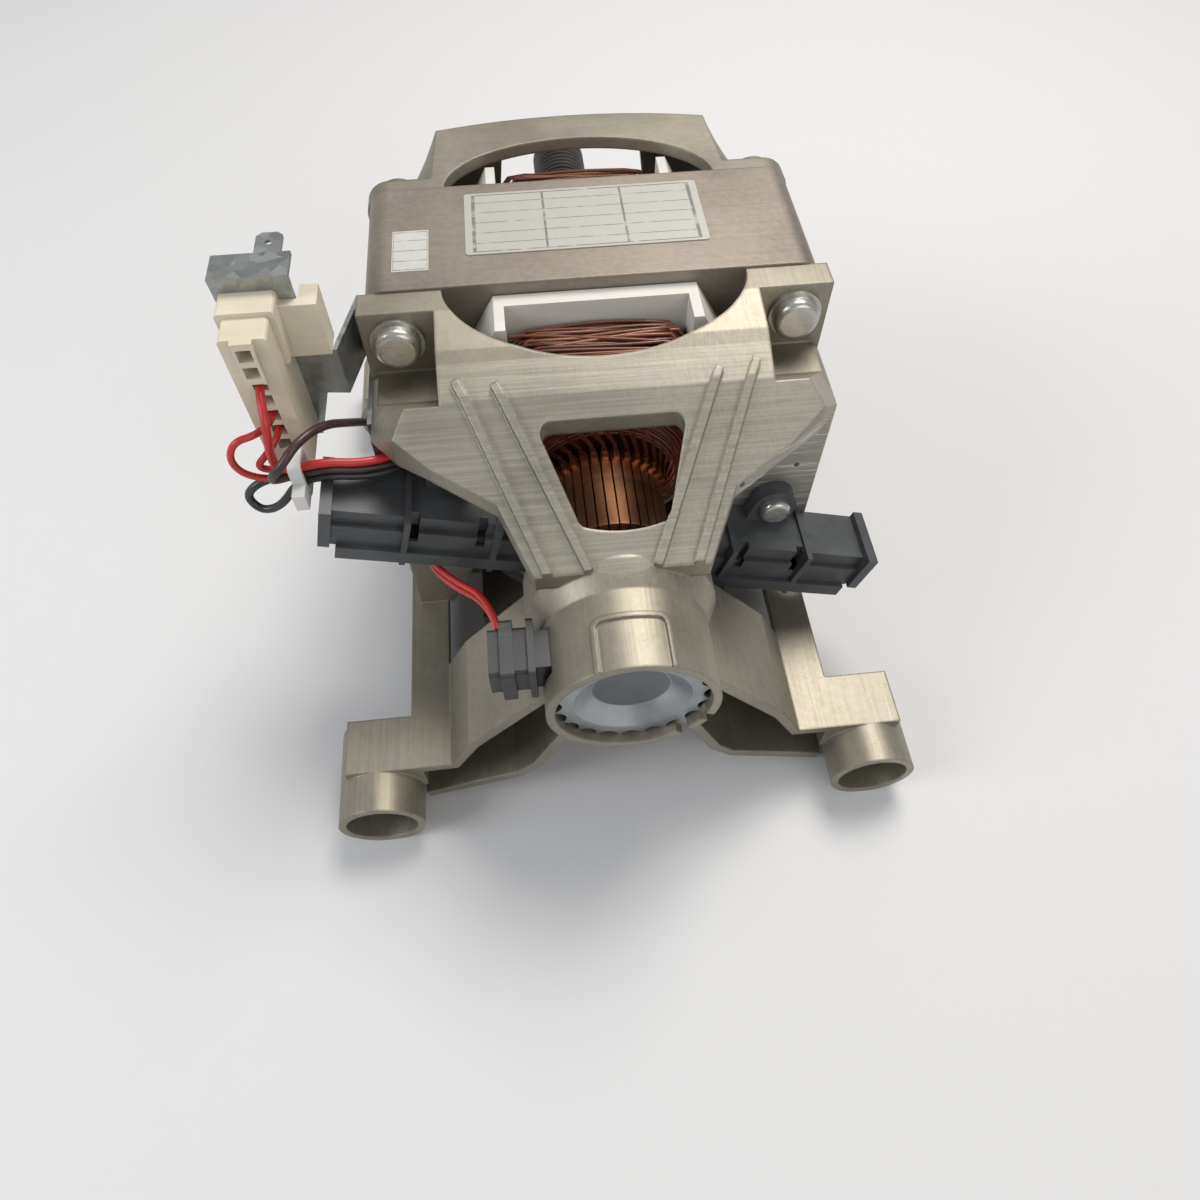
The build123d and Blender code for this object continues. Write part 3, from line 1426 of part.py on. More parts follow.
def lane(route, column, row):
    """A route moved aside by whole lead widths: columns level, rows up."""
    points = [Vector(*p) for p in placed(route)]
    moved = []
    for i, point in enumerate(points):
        run = points[min(i + 1, len(points) - 1)] - points[max(i - 1, 0)]
        across = Vector(run.Y, -run.X, 0).normalized()
        moved.append(point + across * (column * lane_step) + Vector(0, 0, row * lane_step))
    return [(p.X, p.Y, p.Z) for p in moved]


def coil_lane(row):
    """The front column's way from the tie to the coil frame, at one row."""
    end_z = coil_end_z + row * lane_step
    end = (-cheek_x(end_z) - lead_r, front(coil_end_reach), end_z)
    return [*lane(shared_route + coil_route, 0, row), end]


def make_lead(points, radius, name):
    """Round lead along straight runs joined by arcs as large as the runs allow."""
    corners = [Vector(*p) for p in points]
    runs = [b - a for a, b in zip(corners, corners[1:])]
    radii = []
    for before, after in zip(runs, runs[1:]):
        turn = radians(before.get_angle(after))
        radii.append(arc_share * min(before.length, after.length) / tan(turn / 2))
    with BuildPart() as lead:
        with BuildLine():
            route = FilletPolyline(*corners, radius=radii)
        with BuildSketch(Plane(origin=corners[0], z_dir=runs[0])):
            Circle(radius)
        sweep(path=route)
    tube = pi * radius**2 * route.length
    print(f"{name}: radii", [round(r, 1) for r in radii], "volume ratio", round(lead.part.volume / tube, 4))
    save(lead, name)
    return lead


def port(row):
    """A lead's end at its terminal and the mouth of its port; rows count from the lowest."""
    z = port_places[row]
    return [(connector_x, terminal_front, z), (connector_x, front(connector_front + 2 * lead_r), z)]


red_lead = make_lead(
    [*port(5), *placed([(-81.6, 37.4, 52.6), (-82.8, 39.2, 46.0), (-83.6, 38.8, 36.6)]), *coil_lane(2)[1:]],
    lead_r,
    "red_lead",
)
black_lead = make_lead(
    [
        *port(0),
        *placed([(-86.0, 35.0, 31.0), (-91.4, 36.4, 30.2), (-95.0, 36.4, 25.8), (-92.0, 38.0, 21.6)]),
        *placed([(-86.0, 39.0, 24.2)]),
        *coil_lane(0),
    ],
    lead_r,
    "black_lead",
)
dark_lead = make_lead(
    [
        *placed([(-63.6, 17.0, 30.0), (-66.4, 23.4, 36.6), (-70.6, 31.4, 44.6), (-75.8, 39.0, 47.0)]),
        *placed([(-80.2, 43.6, 43.6), (-84.0, 43.0, 39.4), (-84.4, 40.6, 35.8)]),
        *coil_lane(1),
    ],
    lead_r,
    "dark_lead",
)

plug_lead_x = plug_outer_x + tacho_lead_r + header_wall
tacho_down_route = [
    ((-53.6, 22.4, 23.0), (-54.4, 19.6, 25.0)),
    ((-54.6, 21.6, 14.6), (-54.6, 19.0, 14.6)),
    ((-54.4, 23.0, 6.2), (-54.4, 20.6, 4.6)),
    ((-54.0, 28.2, 1.4), (-54.0, 27.6, -1.2)),
    ((-53.6, 36.0, 0.6), (-53.6, 36.4, -1.8)),
    ((-50.6, 45.0, 0.6), (-50.6, 45.6, -1.8)),
    ((-43.6, 52.8, 1.8), (-43.6, 53.4, -0.6)),
    ((-37.4, 58.6, 4.4), (-37.4, 59.2, 2.0)),
]
tacho_ports = [
    (3, [(-85.6, 36.6, 47.8), (-90.6, 38.0, 47.6), (-93.4, 38.6, 42.6), (-92.0, 38.8, 37.2), (-86.6, 37.6, 33.0)]),
    (2, [(-85.0, 36.6, 41.0), (-88.4, 37.4, 37.9), (-85.4, 36.6, 35.2)]),
]
for row, (port_row, port_route) in enumerate(tacho_ports):
    plug_lead_z = plug_z + (1 / 2 - row) * (2 * tacho_lead_r + sheet_gap)
    make_lead(
        [
            *port(port_row),
            *placed(port_route),
            *lane(shared_route, -1, row),
            *placed([step[row] for step in tacho_down_route]),
            (plug_lead_x, plug_back_y + 3 * tacho_lead_r, plug_lead_z),
            (plug_lead_x, plug_back_y, plug_lead_z),
        ],
        tacho_lead_r,
        f"tacho_lead_{row + 1}",
    )

# Tie round the leads
tie_room_depth = lane_step + 2 * (lead_r + tie_slack)
tie_room_height = 2 * (lane_step + lead_r + tie_slack)
tie_centre = (front(shared_route[0][1]) + lane_step / 2, shared_route[0][2] + lane_step)
with BuildPart() as cable_tie:
    with BuildSketch(Plane.YZ.offset(tie_x - tie_width / 2)):
        with Locations(tie_centre):
            RectangleRounded(tie_room_depth + 2 * tie_t, tie_room_height + 2 * tie_t, 2 * tie_t)
        with Locations((tie_centre[0] - (tie_room_depth + tie_head) / 2, tie_centre[1] - lane_step)):
            Rectangle(tie_head, tie_head)
        with Locations(tie_centre):
            RectangleRounded(tie_room_depth, tie_room_height, tie_t, mode=Mode.SUBTRACT)
    extrude(amount=tie_width)
save(cable_tie, "cable_tie")
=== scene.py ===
"""Dressed model of a brushed washing machine motor with two die-cast bells.

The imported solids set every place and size. This file gives each of them its finish, winds
the field coils and the armature wire by wire, and sets the camera, the floor and the lamps.
"""

import logging
import random
from dataclasses import dataclass
from enum import Enum
from math import cos, pi, radians, sin, sqrt

import bpy
from bpy.types import ID, Material, NodeSocket, NodeTree, Object
from mathutils import Matrix, Vector


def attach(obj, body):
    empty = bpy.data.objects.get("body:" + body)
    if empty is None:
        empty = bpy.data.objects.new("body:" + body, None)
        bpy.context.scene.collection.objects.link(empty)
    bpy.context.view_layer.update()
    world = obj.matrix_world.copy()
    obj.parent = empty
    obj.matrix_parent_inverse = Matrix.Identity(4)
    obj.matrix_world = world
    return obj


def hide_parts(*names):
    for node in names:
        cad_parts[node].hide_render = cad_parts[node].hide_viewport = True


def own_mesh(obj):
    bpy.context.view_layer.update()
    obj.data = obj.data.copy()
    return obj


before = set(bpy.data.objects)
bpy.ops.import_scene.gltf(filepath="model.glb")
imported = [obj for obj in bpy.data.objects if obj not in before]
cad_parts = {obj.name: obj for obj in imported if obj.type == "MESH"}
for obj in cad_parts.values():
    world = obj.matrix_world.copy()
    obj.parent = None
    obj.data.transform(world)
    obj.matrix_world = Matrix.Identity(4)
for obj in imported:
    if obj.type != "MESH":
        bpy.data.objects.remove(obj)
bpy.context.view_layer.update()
log = logging.getLogger("motor")

Pair = tuple[float, float]
Triple = tuple[float, float, float]
Colour = Triple
MM = 0.001
STACK_FRONT = -133.0 * MM
STACK_REAR = -89.2 * MM


class Body(Enum):
    """Bodies that pieces ride on."""

    MOTOR = "motor"
    ROTOR = "rotor"


class Grain(Enum):
    """Direction in which a metal's fine scratches run."""

    ALONG_SHAFT = (1500.0, 40.0, 900.0)
    ACROSS = (30.0, 1600.0, 900.0)


# Shader expressions


@dataclass(frozen=True, eq=False)
class Val:
    """An output socket of a shader tree; used in an expression, it adds Math nodes."""

    tree: "ShaderTree"
    socket: NodeSocket

    def _math(self, operation: str, *others: object, clamp: bool = False) -> "Val":
        """Add one Math node with this value first; clamp keeps the result between 0 and 1."""
        settings = {"operation": operation, "use_clamp": clamp}
        inputs = {i + 1: other for i, other in enumerate(others)}
        return self.tree.node("ShaderNodeMath", settings, {0: self, **inputs})["Value"]

    def __add__(self, other: object) -> "Val":
        """Sum."""
        return self._math("ADD", other)

    __radd__ = __add__

    def __mul__(self, other: object) -> "Val":
        """Product."""
        return self._math("MULTIPLY", other)

    __rmul__ = __mul__

    def __sub__(self, other: object) -> "Val":
        """Difference."""
        return self._math("SUBTRACT", other)

    def __rsub__(self, other: float) -> "Val":
        """Difference with the number first."""
        return self * -1.0 + other

    def __pow__(self, other: object) -> "Val":
        """Power."""
        return self._math("POWER", other)

    def above(self, limit: float) -> "Val":
        """1 where the value is greater than the limit, 0 elsewhere."""
        return self._math("GREATER_THAN", limit)

    def least(self, other: object) -> "Val":
        """The smaller of two values."""
        return self._math("MINIMUM", other)

    def most(self, other: object) -> "Val":
        """The larger of two values."""
        return self._math("MAXIMUM", other)

    def size(self) -> "Val":
        """Absolute value."""
        return self._math("ABSOLUTE")

    def wave(self) -> "Val":
        """Sine."""
        return self._math("SINE")

    def part(self) -> "Val":
        """Fraction above the whole number."""
        return self._math("FRACT")

    def ramp(self, low: float, high: float) -> "Val":
        """0 at low, 1 at high, straight between and held beyond."""
        return ((self - low) * (1.0 / (high - low)))._math("ADD", 0.0, clamp=True)


class ShaderTree:
    """A material's node tree, built by expressions."""

    def __init__(self, name: str) -> None:
        """Start a material of this name with an empty tree."""
        self.material = bpy.data.materials.new(name)
        self.material.use_nodes = True
        self.nodes = self.material.node_tree.nodes
        self.links = self.material.node_tree.links
        self.nodes.clear()
        coordinates = self.node("ShaderNodeTexCoord", {}, {})
        self.place = coordinates["Object"]
        self.normal = coordinates["Normal"]
        split = self.node("ShaderNodeSeparateXYZ", {}, {0: self.place})
        self.x, self.y, self.z = split["X"], split["Y"], split["Z"]

    def feed(self, socket: NodeSocket, value: object) -> None:
        """Link a Val to an input socket, or set a plain value on it."""
        if isinstance(value, Val):
            self.links.new(value.socket, socket)
        else:
            socket.default_value = value

    def node(self, kind: str, settings: dict, inputs: dict) -> dict[str, Val]:
        """Add any node.

        Args:
            kind: Blender's type name of the node.
            settings: Attributes that are set first.
            inputs: Values or Vals by input name or number.

        Returns:
            The node's outputs by name.
        """
        node = self.nodes.new(kind)
        for key, value in settings.items():
            setattr(node, key, value)
        for key, value in inputs.items():
            self.feed(node.inputs[key], value)
        return {output.name: Val(self, output) for output in node.outputs if output.enabled}

    def facing(self, axis: str) -> Val:
        """One component of the surface's own direction, by its axis letter."""
        return self.node("ShaderNodeSeparateXYZ", {}, {0: self.normal})[axis]

    def noise(self, scale: float | Triple, detail: float) -> Val:
        """Fractal noise, about 0.5 on average.

        Args:
            scale: Scale in 1/m, or one for each axis where the noise is to run in streaks.
            detail: Number of octaves.

        Returns:
            The noise.
        """
        place = self.place
        if isinstance(scale, tuple):
            inputs = {"Vector": place, "Scale": scale}
            place, scale = self.node("ShaderNodeMapping", {}, inputs)["Vector"], 1.0
        inputs = {"Vector": place, "Scale": scale, "Detail": detail}
        outputs = self.node("ShaderNodeTexNoise", {}, inputs)
        return outputs.get("Fac") or outputs["Factor"]

    def mix(self, share: Val | float, first: object, second: object) -> Val:
        """Mix two colours.

        Args:
            share: 0 for the first colour, 1 for the second.
            first: Colour as three numbers, or a Val.
            second: Colour as three numbers, or a Val.

        Returns:
            The mixed colour.
        """
        pair = [c if isinstance(c, Val) else (*c, 1.0) for c in (first, second)]
        node = self.nodes.new("ShaderNodeMix")
        node.data_type = "RGBA"
        for number, value in zip((0, 6, 7), (share, *pair)):
            self.feed(node.inputs[number], value)
        return Val(self, node.outputs[2])

    def bump(self, height: Val, depth: float, strength: float, edge_r: float = 0.0) -> Val:
        """Normal bent by a height pattern.

        Args:
            height: Pattern between 0 and 1.
            depth: Depth of the pattern in metres.
            strength: Share of the effect.
            edge_r: Radius that sharp edges are shaded with, in metres.

        Returns:
            The normal.
        """
        inputs = {"Height": height, "Distance": depth, "Strength": strength}
        if edge_r:
            bevel = self.node("ShaderNodeBevel", {"samples": 4}, {"Radius": edge_r})
            inputs["Normal"] = bevel["Normal"]
        return self.node("ShaderNodeBump", {}, inputs)["Normal"]

    def finish(
        self,
        colour: Val | Colour,
        roughness: Val | float,
        normal: Val,
        metallic: float = 0.0,
        **constants: float,
    ) -> Material:
        """Close the tree with one shader.

        Args:
            colour: Base colour.
            roughness: Roughness.
            normal: Bent normal.
            metallic: Metallic share.
            constants: Other sockets' plain values, with _ for a space.

        Returns:
            The finished material.
        """
        inputs = {
            "Base Color": colour if isinstance(colour, Val) else (*colour, 1.0),
            "Roughness": roughness,
            "Normal": normal,
            "Metallic": metallic,
            **{key.replace("_", " "): value for key, value in constants.items()},
        }
        shader = self.node("ShaderNodeBsdfPrincipled", {}, inputs)["BSDF"]
        self.node("ShaderNodeOutputMaterial", {}, {"Surface": shader})
        return self.material


# Finishes


@dataclass(frozen=True)
class CastAluminium:
    """Die-cast aluminium: mottled skin, brushed slopes with a painted highlight on their upward faces, a
    filed cheek, scratches and pits.
    """

    light: Colour = (0.385, 0.352, 0.285)
    dark: Colour = (0.2, 0.182, 0.145)
    bright: Colour = (0.5, 0.48, 0.42)
    relief: float = 0.09 * MM
    edge_r: float = 0.9 * MM
    scratches: Triple = (190.0, 2300.0, 900.0)
    crease_y: float = -157.0 * MM
    bridge_z: float = 24.0 * MM
    filed: Colour = (0.4, 0.385, 0.36)
    file_mark: Colour = (0.72, 0.71, 0.68)
    file_lines: Triple = (70.0, 70.0, 1900.0)
    filed_x: float = 25.0 * MM
    filed_y: Pair = (-188.0 * MM, -160.0 * MM)
    filed_z: Pair = (-6.0 * MM, 40.0 * MM)
    pits: tuple[Triple, ...] = ()
    pit_r: float = 1.0 * MM
    pit_shade: Colour = (0.03, 0.028, 0.024)

    def mark(self, tree: ShaderTree, colour: Val, height: Val) -> tuple[Val, Val]:
        """Add the filed cheek at the bridge's right side, with its pits.

        Args:
            tree: Tree of the material.
            colour: Colour of the skin.
            height: Height pattern of the skin.

        Returns:
            Both, with the marks.
        """
        cheek = (1.0 - tree.facing("Y").above(-0.8)) * tree.x.above(self.filed_x)
        for value, (low, high) in ((tree.y, self.filed_y), (tree.z, self.filed_z)):
            cheek = cheek * value.above(low) * (1.0 - value.above(high))
        line = cheek * tree.noise(self.file_lines, 3.0).ramp(0.56, 0.64)
        colour = tree.mix(cheek * 0.55, colour, self.filed)
        colour = tree.mix(line * 0.8, colour, self.file_mark)
        height = height - line * 0.6
        for x, y, z in self.pits:
            across, along, rise = tree.x - x, tree.y - y, tree.z - z
            square = across * across + along * along + rise * rise
            spot = 1.0 - square.ramp((0.6 * self.pit_r) ** 2, self.pit_r**2)
            colour = tree.mix(spot * 0.85, colour, self.pit_shade)
            height = height - spot
        return colour, height

    def build(self, name: str, grain: Grain) -> Material:
        """Make the material with its fine lines running one way."""
        tree = ShaderTree(name)
        cloud = tree.noise(34.0, 5.0)
        skin = tree.noise(1400.0, 3.0)
        pebble = tree.noise(420.0, 2.0)
        line = tree.noise(grain.value, 3.0)
        patch = tree.noise(11.0, 2.0).ramp(0.4, 0.62)
        lines = (line - 0.5) * (0.3 + patch * 0.8) + 0.5
        shade = (cloud * 0.55 + lines * 0.3 + pebble * 0.15).ramp(0.3, 0.7)
        scratch = tree.noise(self.scratches, 2.0).ramp(0.7, 0.72)
        colour = tree.mix(shade, self.dark, self.light)
        # Painted highlight: the slope's upward faces are lightened towards the bright colour, mixed with
        # the real brushed grain.
        slope = (1.0 - tree.y.above(self.crease_y)) * tree.z.above(self.bridge_z)
        slope = slope * tree.facing("Z").above(0.5)
        brushed = tree.noise(Grain.ACROSS.value, 4.0)
        colour = tree.mix(slope * (0.12 + brushed.ramp(0.35, 0.7) * 0.42), colour, self.bright)
        colour = tree.mix(scratch * 0.22, colour, self.bright)
        height = lines * 0.5 + skin * 0.35 + pebble * 0.3 - scratch * 0.25 + slope * brushed * 0.6
        if self.pits:
            colour, height = self.mark(tree, colour, height)
        rough = 0.38 + cloud * 0.16 + skin * 0.08 - lines * 0.05
        return tree.finish(colour, rough, tree.bump(height, self.relief, 0.5, self.edge_r), 0.75)


@dataclass(frozen=True)
class LaminatedSteel:
    """Edges of stacked sheets: fine lines square to the shaft, with oil stains."""

    light: Colour = (0.36, 0.315, 0.265)
    dark: Colour = (0.2, 0.172, 0.142)
    rust: Colour = (0.2, 0.1, 0.05)
    sheet: float = 0.5 * MM
    relief: float = 0.06 * MM
    edge_r: float = 0.8 * MM

    def build(self, name: str) -> Material:
        """Make the material."""
        tree = ShaderTree(name)
        line = (tree.y * (2.0 * pi / self.sheet)).wave() * 0.5 + 0.5
        uneven = tree.noise((7.0, 2400.0, 7.0), 2.0)
        cloud = tree.noise(24.0, 5.0)
        speck = tree.noise(520.0, 3.0)
        shade = (uneven * 0.22 + cloud * 0.53 + speck * 0.25).ramp(0.32, 0.68)
        colour = tree.mix(shade, self.dark, self.light)
        colour = tree.mix(line * 0.12, colour, self.dark)
        colour = tree.mix((cloud * 0.6 + speck * 0.4).ramp(0.58, 0.7) * 0.35, colour, self.rust)
        height = line * 0.35 + uneven * 0.25 + speck * 0.2
        normal = tree.bump(height, self.relief, 0.5, self.edge_r)
        return tree.finish(colour, 0.36 + cloud * 0.2, normal, 0.65)


@dataclass(frozen=True)
class PlatedSteel:
    """Zinc or galvanised sheet, with spangle and fine scratches."""

    light: Colour
    dark: Colour
    spangle: float
    spangle_share: float = 0.5
    gloss: float = 0.24
    relief: float = 0.06 * MM

    def build(self, name: str) -> Material:
        """Make the material."""
        tree = ShaderTree(name)
        cells = tree.node("ShaderNodeTexVoronoi", {}, {"Vector": tree.place, "Scale": self.spangle})
        cell = tree.node("ShaderNodeSeparateColor", {}, {0: cells["Color"]})["Red"]
        cloud = tree.noise(60.0, 3.0)
        scratch = tree.noise((90.0, 1500.0, 1500.0), 3.0)
        shade = (cell * self.spangle_share + cloud * (1.0 - self.spangle_share)).ramp(0.15, 0.85)
        colour = tree.mix(shade, self.dark, self.light)
        rough = self.gloss + cell * 0.12 + scratch * 0.12
        normal = tree.bump(scratch * 0.6 + cell * 0.2, self.relief, 0.5)
        return tree.finish(colour, rough, normal, 0.85)


@dataclass(frozen=True)
class PressedCap:
    """Smooth galvanised pressing, its sunk middle painted darker than the slope round it as painted
    shade.
    """

    light: Colour = (0.42, 0.445, 0.46)
    dark: Colour = (0.22, 0.24, 0.255)
    # Colour of the painted shade in the sunk middle.
    middle: Colour = (0.1, 0.115, 0.13)
    middle_r: float = 10.5 * MM
    fade: float = 0.6 * MM
    relief: float = 0.05 * MM

    def build(self, name: str) -> Material:
        """Make the material."""
        tree = ShaderTree(name)
        radius = (tree.x * tree.x + tree.z * tree.z) ** 0.5
        cloud = tree.noise(90.0, 4.0)
        fine = tree.noise(900.0, 3.0)
        ring = tree.noise((40.0, 40.0, 40.0), 2.0)
        colour = tree.mix((cloud * 0.7 + ring * 0.3).ramp(0.34, 0.66), self.dark, self.light)
        # Painted shade: the sunk middle is darkened towards the middle colour.
        sunk = 1.0 - radius.ramp(self.middle_r - self.fade, self.middle_r)
        colour = tree.mix(sunk * 0.8, colour, self.middle)
        rough = 0.3 + cloud * 0.14 + fine * 0.08
        normal = tree.bump(fine * 0.5 + cloud * 0.5, self.relief, 0.4)
        return tree.finish(colour, rough, normal, 0.8)


@dataclass(frozen=True)
class TurnedSteel:
    """Ground or turned steel: fine rings square to the shaft."""

    light: Colour = (0.55, 0.55, 0.54)
    dark: Colour = (0.3, 0.3, 0.3)
    gloss: float = 0.2
    relief: float = 0.04 * MM

    def build(self, name: str) -> Material:
        """Make the material."""
        tree = ShaderTree(name)
        ring = tree.noise((20.0, 2600.0, 20.0), 3.0)
        stain = tree.noise(110.0, 3.0)
        colour = tree.mix((ring * 0.5 + stain * 0.5).ramp(0.3, 0.7), self.dark, self.light)
        rough = self.gloss + ring * 0.12 + stain * 0.1
        return tree.finish(colour, rough, tree.bump(ring, self.relief, 0.5), 0.9)


@dataclass(frozen=True)
class Moulding:
    """Moulded plastic, resin or carbon: fine grain, faint flow clouds and rubbed streaks."""

    base: Colour
    worn: Colour
    gloss: float
    relief: float = 0.05 * MM
    subsurface: float = 0.0
    subsurface_reach: float = 2.0 * MM

    def build(self, name: str) -> Material:
        """Make the material."""
        tree = ShaderTree(name)
        grain = tree.noise(1700.0, 2.0)
        cloud = tree.noise(70.0, 4.0)
        flow = tree.noise((25.0, 160.0, 160.0), 3.0)
        rub = tree.noise((120.0, 900.0, 900.0), 3.0).ramp(0.6, 0.72)
        shade = (cloud * 0.6 + flow * 0.4).ramp(0.38, 0.66)
        colour = tree.mix(shade * 0.6 + rub * 0.35, self.base, self.worn)
        rough = self.gloss + cloud * 0.14 - rub * 0.08
        normal = tree.bump(grain * 0.6 + flow * 0.5, self.relief, 0.5)
        inner = {"Subsurface_Weight": self.subsurface, "Subsurface_Scale": self.subsurface_reach}
        return tree.finish(colour, rough, normal, **inner)


@dataclass(frozen=True)
class EnamelledWire:
    """Copper wire under a brown or red enamel, each turn a little different."""

    light: Colour = (0.26, 0.085, 0.045)
    dark: Colour = (0.075, 0.025, 0.016)
    gloss: float = 0.26
    relief: float = 0.1 * MM

    def build(self, name: str) -> Material:
        """Make the material."""
        tree = ShaderTree(name)
        attribute = tree.node("ShaderNodeAttribute", {"attribute_name": "turn"}, {})
        turn = attribute.get("Fac") or attribute["Factor"]
        along = tree.noise(150.0, 3.0)
        resin = tree.noise(45.0, 3.0).ramp(0.52, 0.66)
        shade = (turn * 0.65 + along * 0.4).ramp(0.15, 0.9)
        colour = tree.mix(shade, self.dark, self.light)
        colour = tree.mix(resin * 0.4, colour, self.dark)
        rough = self.gloss + along * 0.16
        normal = tree.bump(along, self.relief, 0.4)
        return tree.finish(colour, rough, normal, 0.25, Coat_Weight=0.4, Coat_Roughness=0.2)


@dataclass(frozen=True)
class CommutatorCopper:
    """Turned copper with the darker band where the brushes run."""

    fresh: Colour = (0.72, 0.34, 0.16)
    stained: Colour = (0.52, 0.24, 0.12)
    worn: Colour = (0.3, 0.15, 0.075)
    band: Pair = (-181.5 * MM, -165.5 * MM)
    fade: float = 1.0 * MM
    relief: float = 0.06 * MM

    def build(self, name: str) -> Material:
        """Make the material."""
        tree = ShaderTree(name)
        ring = tree.noise((20.0, 3200.0, 20.0), 4.0)
        stain = tree.noise(160.0, 4.0)
        begun, ended = (tree.y.ramp(edge, edge + self.fade) for edge in self.band)
        inside = begun * (1.0 - ended)
        colour = tree.mix(stain.ramp(0.3, 0.7), self.stained, self.fresh)
        colour = tree.mix(inside * (0.45 + ring * 0.5), colour, self.worn)
        rough = 0.22 + ring * 0.22 + stain * 0.1
        return tree.finish(colour, rough, tree.bump(ring, self.relief, 0.7), 0.9)


@dataclass(frozen=True)
class Insulation:
    """Extruded insulation of a lead, with a faint sheen and dull spots."""

    base: Colour
    dull: Colour
    relief: float = 0.08 * MM

    def build(self, name: str) -> Material:
        """Make the material."""
        tree = ShaderTree(name)
        spot = tree.noise(240.0, 4.0)
        fine = tree.noise(1500.0, 2.0)
        colour = tree.mix(spot.ramp(0.4, 0.7) * 0.7, self.base, self.dull)
        normal = tree.bump(fine * 0.5 + spot * 0.5, self.relief, 0.4)
        return tree.finish(colour, 0.32 + spot * 0.2, normal, Coat_Weight=0.15)


@dataclass(frozen=True)
class LabelFilm:
    """Blank label: satin silver film with a thin printed border and empty table rows."""

    low: Pair
    high: Pair
    rows: float = 6.0
    columns: float = 3.0
    film: Colour = (0.47, 0.46, 0.42)
    stained: Colour = (0.33, 0.315, 0.28)
    ink: Colour = (0.1, 0.1, 0.1)
    border: Pair = (0.03, 0.045)
    row_line: float = 0.47
    column_line: float = 0.485
    relief: float = 0.03 * MM

    def build(self, name: str) -> Material:
        """Make the material."""
        tree = ShaderTree(name)
        u = tree.x.ramp(self.low[0], self.high[0])
        v = tree.y.ramp(self.low[1], self.high[1])
        edge = (0.5 - (u - 0.5).size()).least(0.5 - (v - 0.5).size())
        within = edge.above(self.border[1])
        border = (1.0 - within) * edge.above(self.border[0])
        row = ((v * self.rows).part() - 0.5).size().above(self.row_line)
        column = ((u * self.columns).part() - 0.5).size().above(self.column_line)
        wear = tree.noise(300.0, 4.0)
        lines = border.most(row.most(column) * within) * wear.ramp(0.3, 0.5)
        colour = tree.mix(wear.ramp(0.3, 0.8) * 0.3, self.film, self.stained)
        colour = tree.mix(lines * 0.75, colour, self.ink)
        return tree.finish(colour, 0.34 + wear * 0.15, tree.bump(wear, self.relief, 0.4), 0.25)


# Shared shape tools


def held(value: float, low: float = 0.0, high: float = 1.0) -> float:
    """The value, kept between two limits."""
    return min(high, max(low, value))


def eased(share: float) -> float:
    """A share from 0 to 1 that starts and stops gently."""
    return share * share * (3.0 - 2.0 * share)


def round_shaft(radius: float, angle: float, y: float) -> Vector:
    """Point at a radius and an angle round the shaft's axis."""
    return Vector((radius * cos(angle), y, radius * sin(angle)))


def add_object(name: str, data: ID) -> Object:
    """Put a new object with this mesh, curve, lamp or camera into the scene."""
    item = bpy.data.objects.new(name, data)
    bpy.context.scene.collection.objects.link(item)
    return item


def new_piece(name: str, points: list[Vector], faces: list[tuple[int, ...]]) -> Object:
    """Make a mesh object at the world's origin.

    Args:
        name: Name of the piece.
        points: Vertices in the row frame, in metres.
        faces: Faces by vertex number, seen from outside counter-clockwise.

    Returns:
        The new object.
    """
    mesh = bpy.data.meshes.new(name)
    mesh.from_pydata(points, [], faces)
    mesh.validate()
    mesh.update()
    return add_object(name, mesh)


def lathe(name: str, profile: list[Pair], steps: int = 64) -> Object:
    """Turn a closed profile round the shaft axis.

    Args:
        name: Name of the piece.
        profile: (radius, y) points; the body lies left of the path from point to point.
        steps: Number of steps round the axis.

    Returns:
        The turned piece.
    """
    points = []
    for i in range(steps):
        points += [round_shaft(r, 2.0 * pi * i / steps, y) for r, y in profile]
    count = len(profile)
    faces = []
    for i in range(steps):
        for j in range(count):
            a = i * count + j
            b = i * count + (j + 1) % count
            c = ((i + 1) % steps) * count + (j + 1) % count
            d = ((i + 1) % steps) * count + j
            faces.append((a, b, c, d))
    return new_piece(name, points, faces)


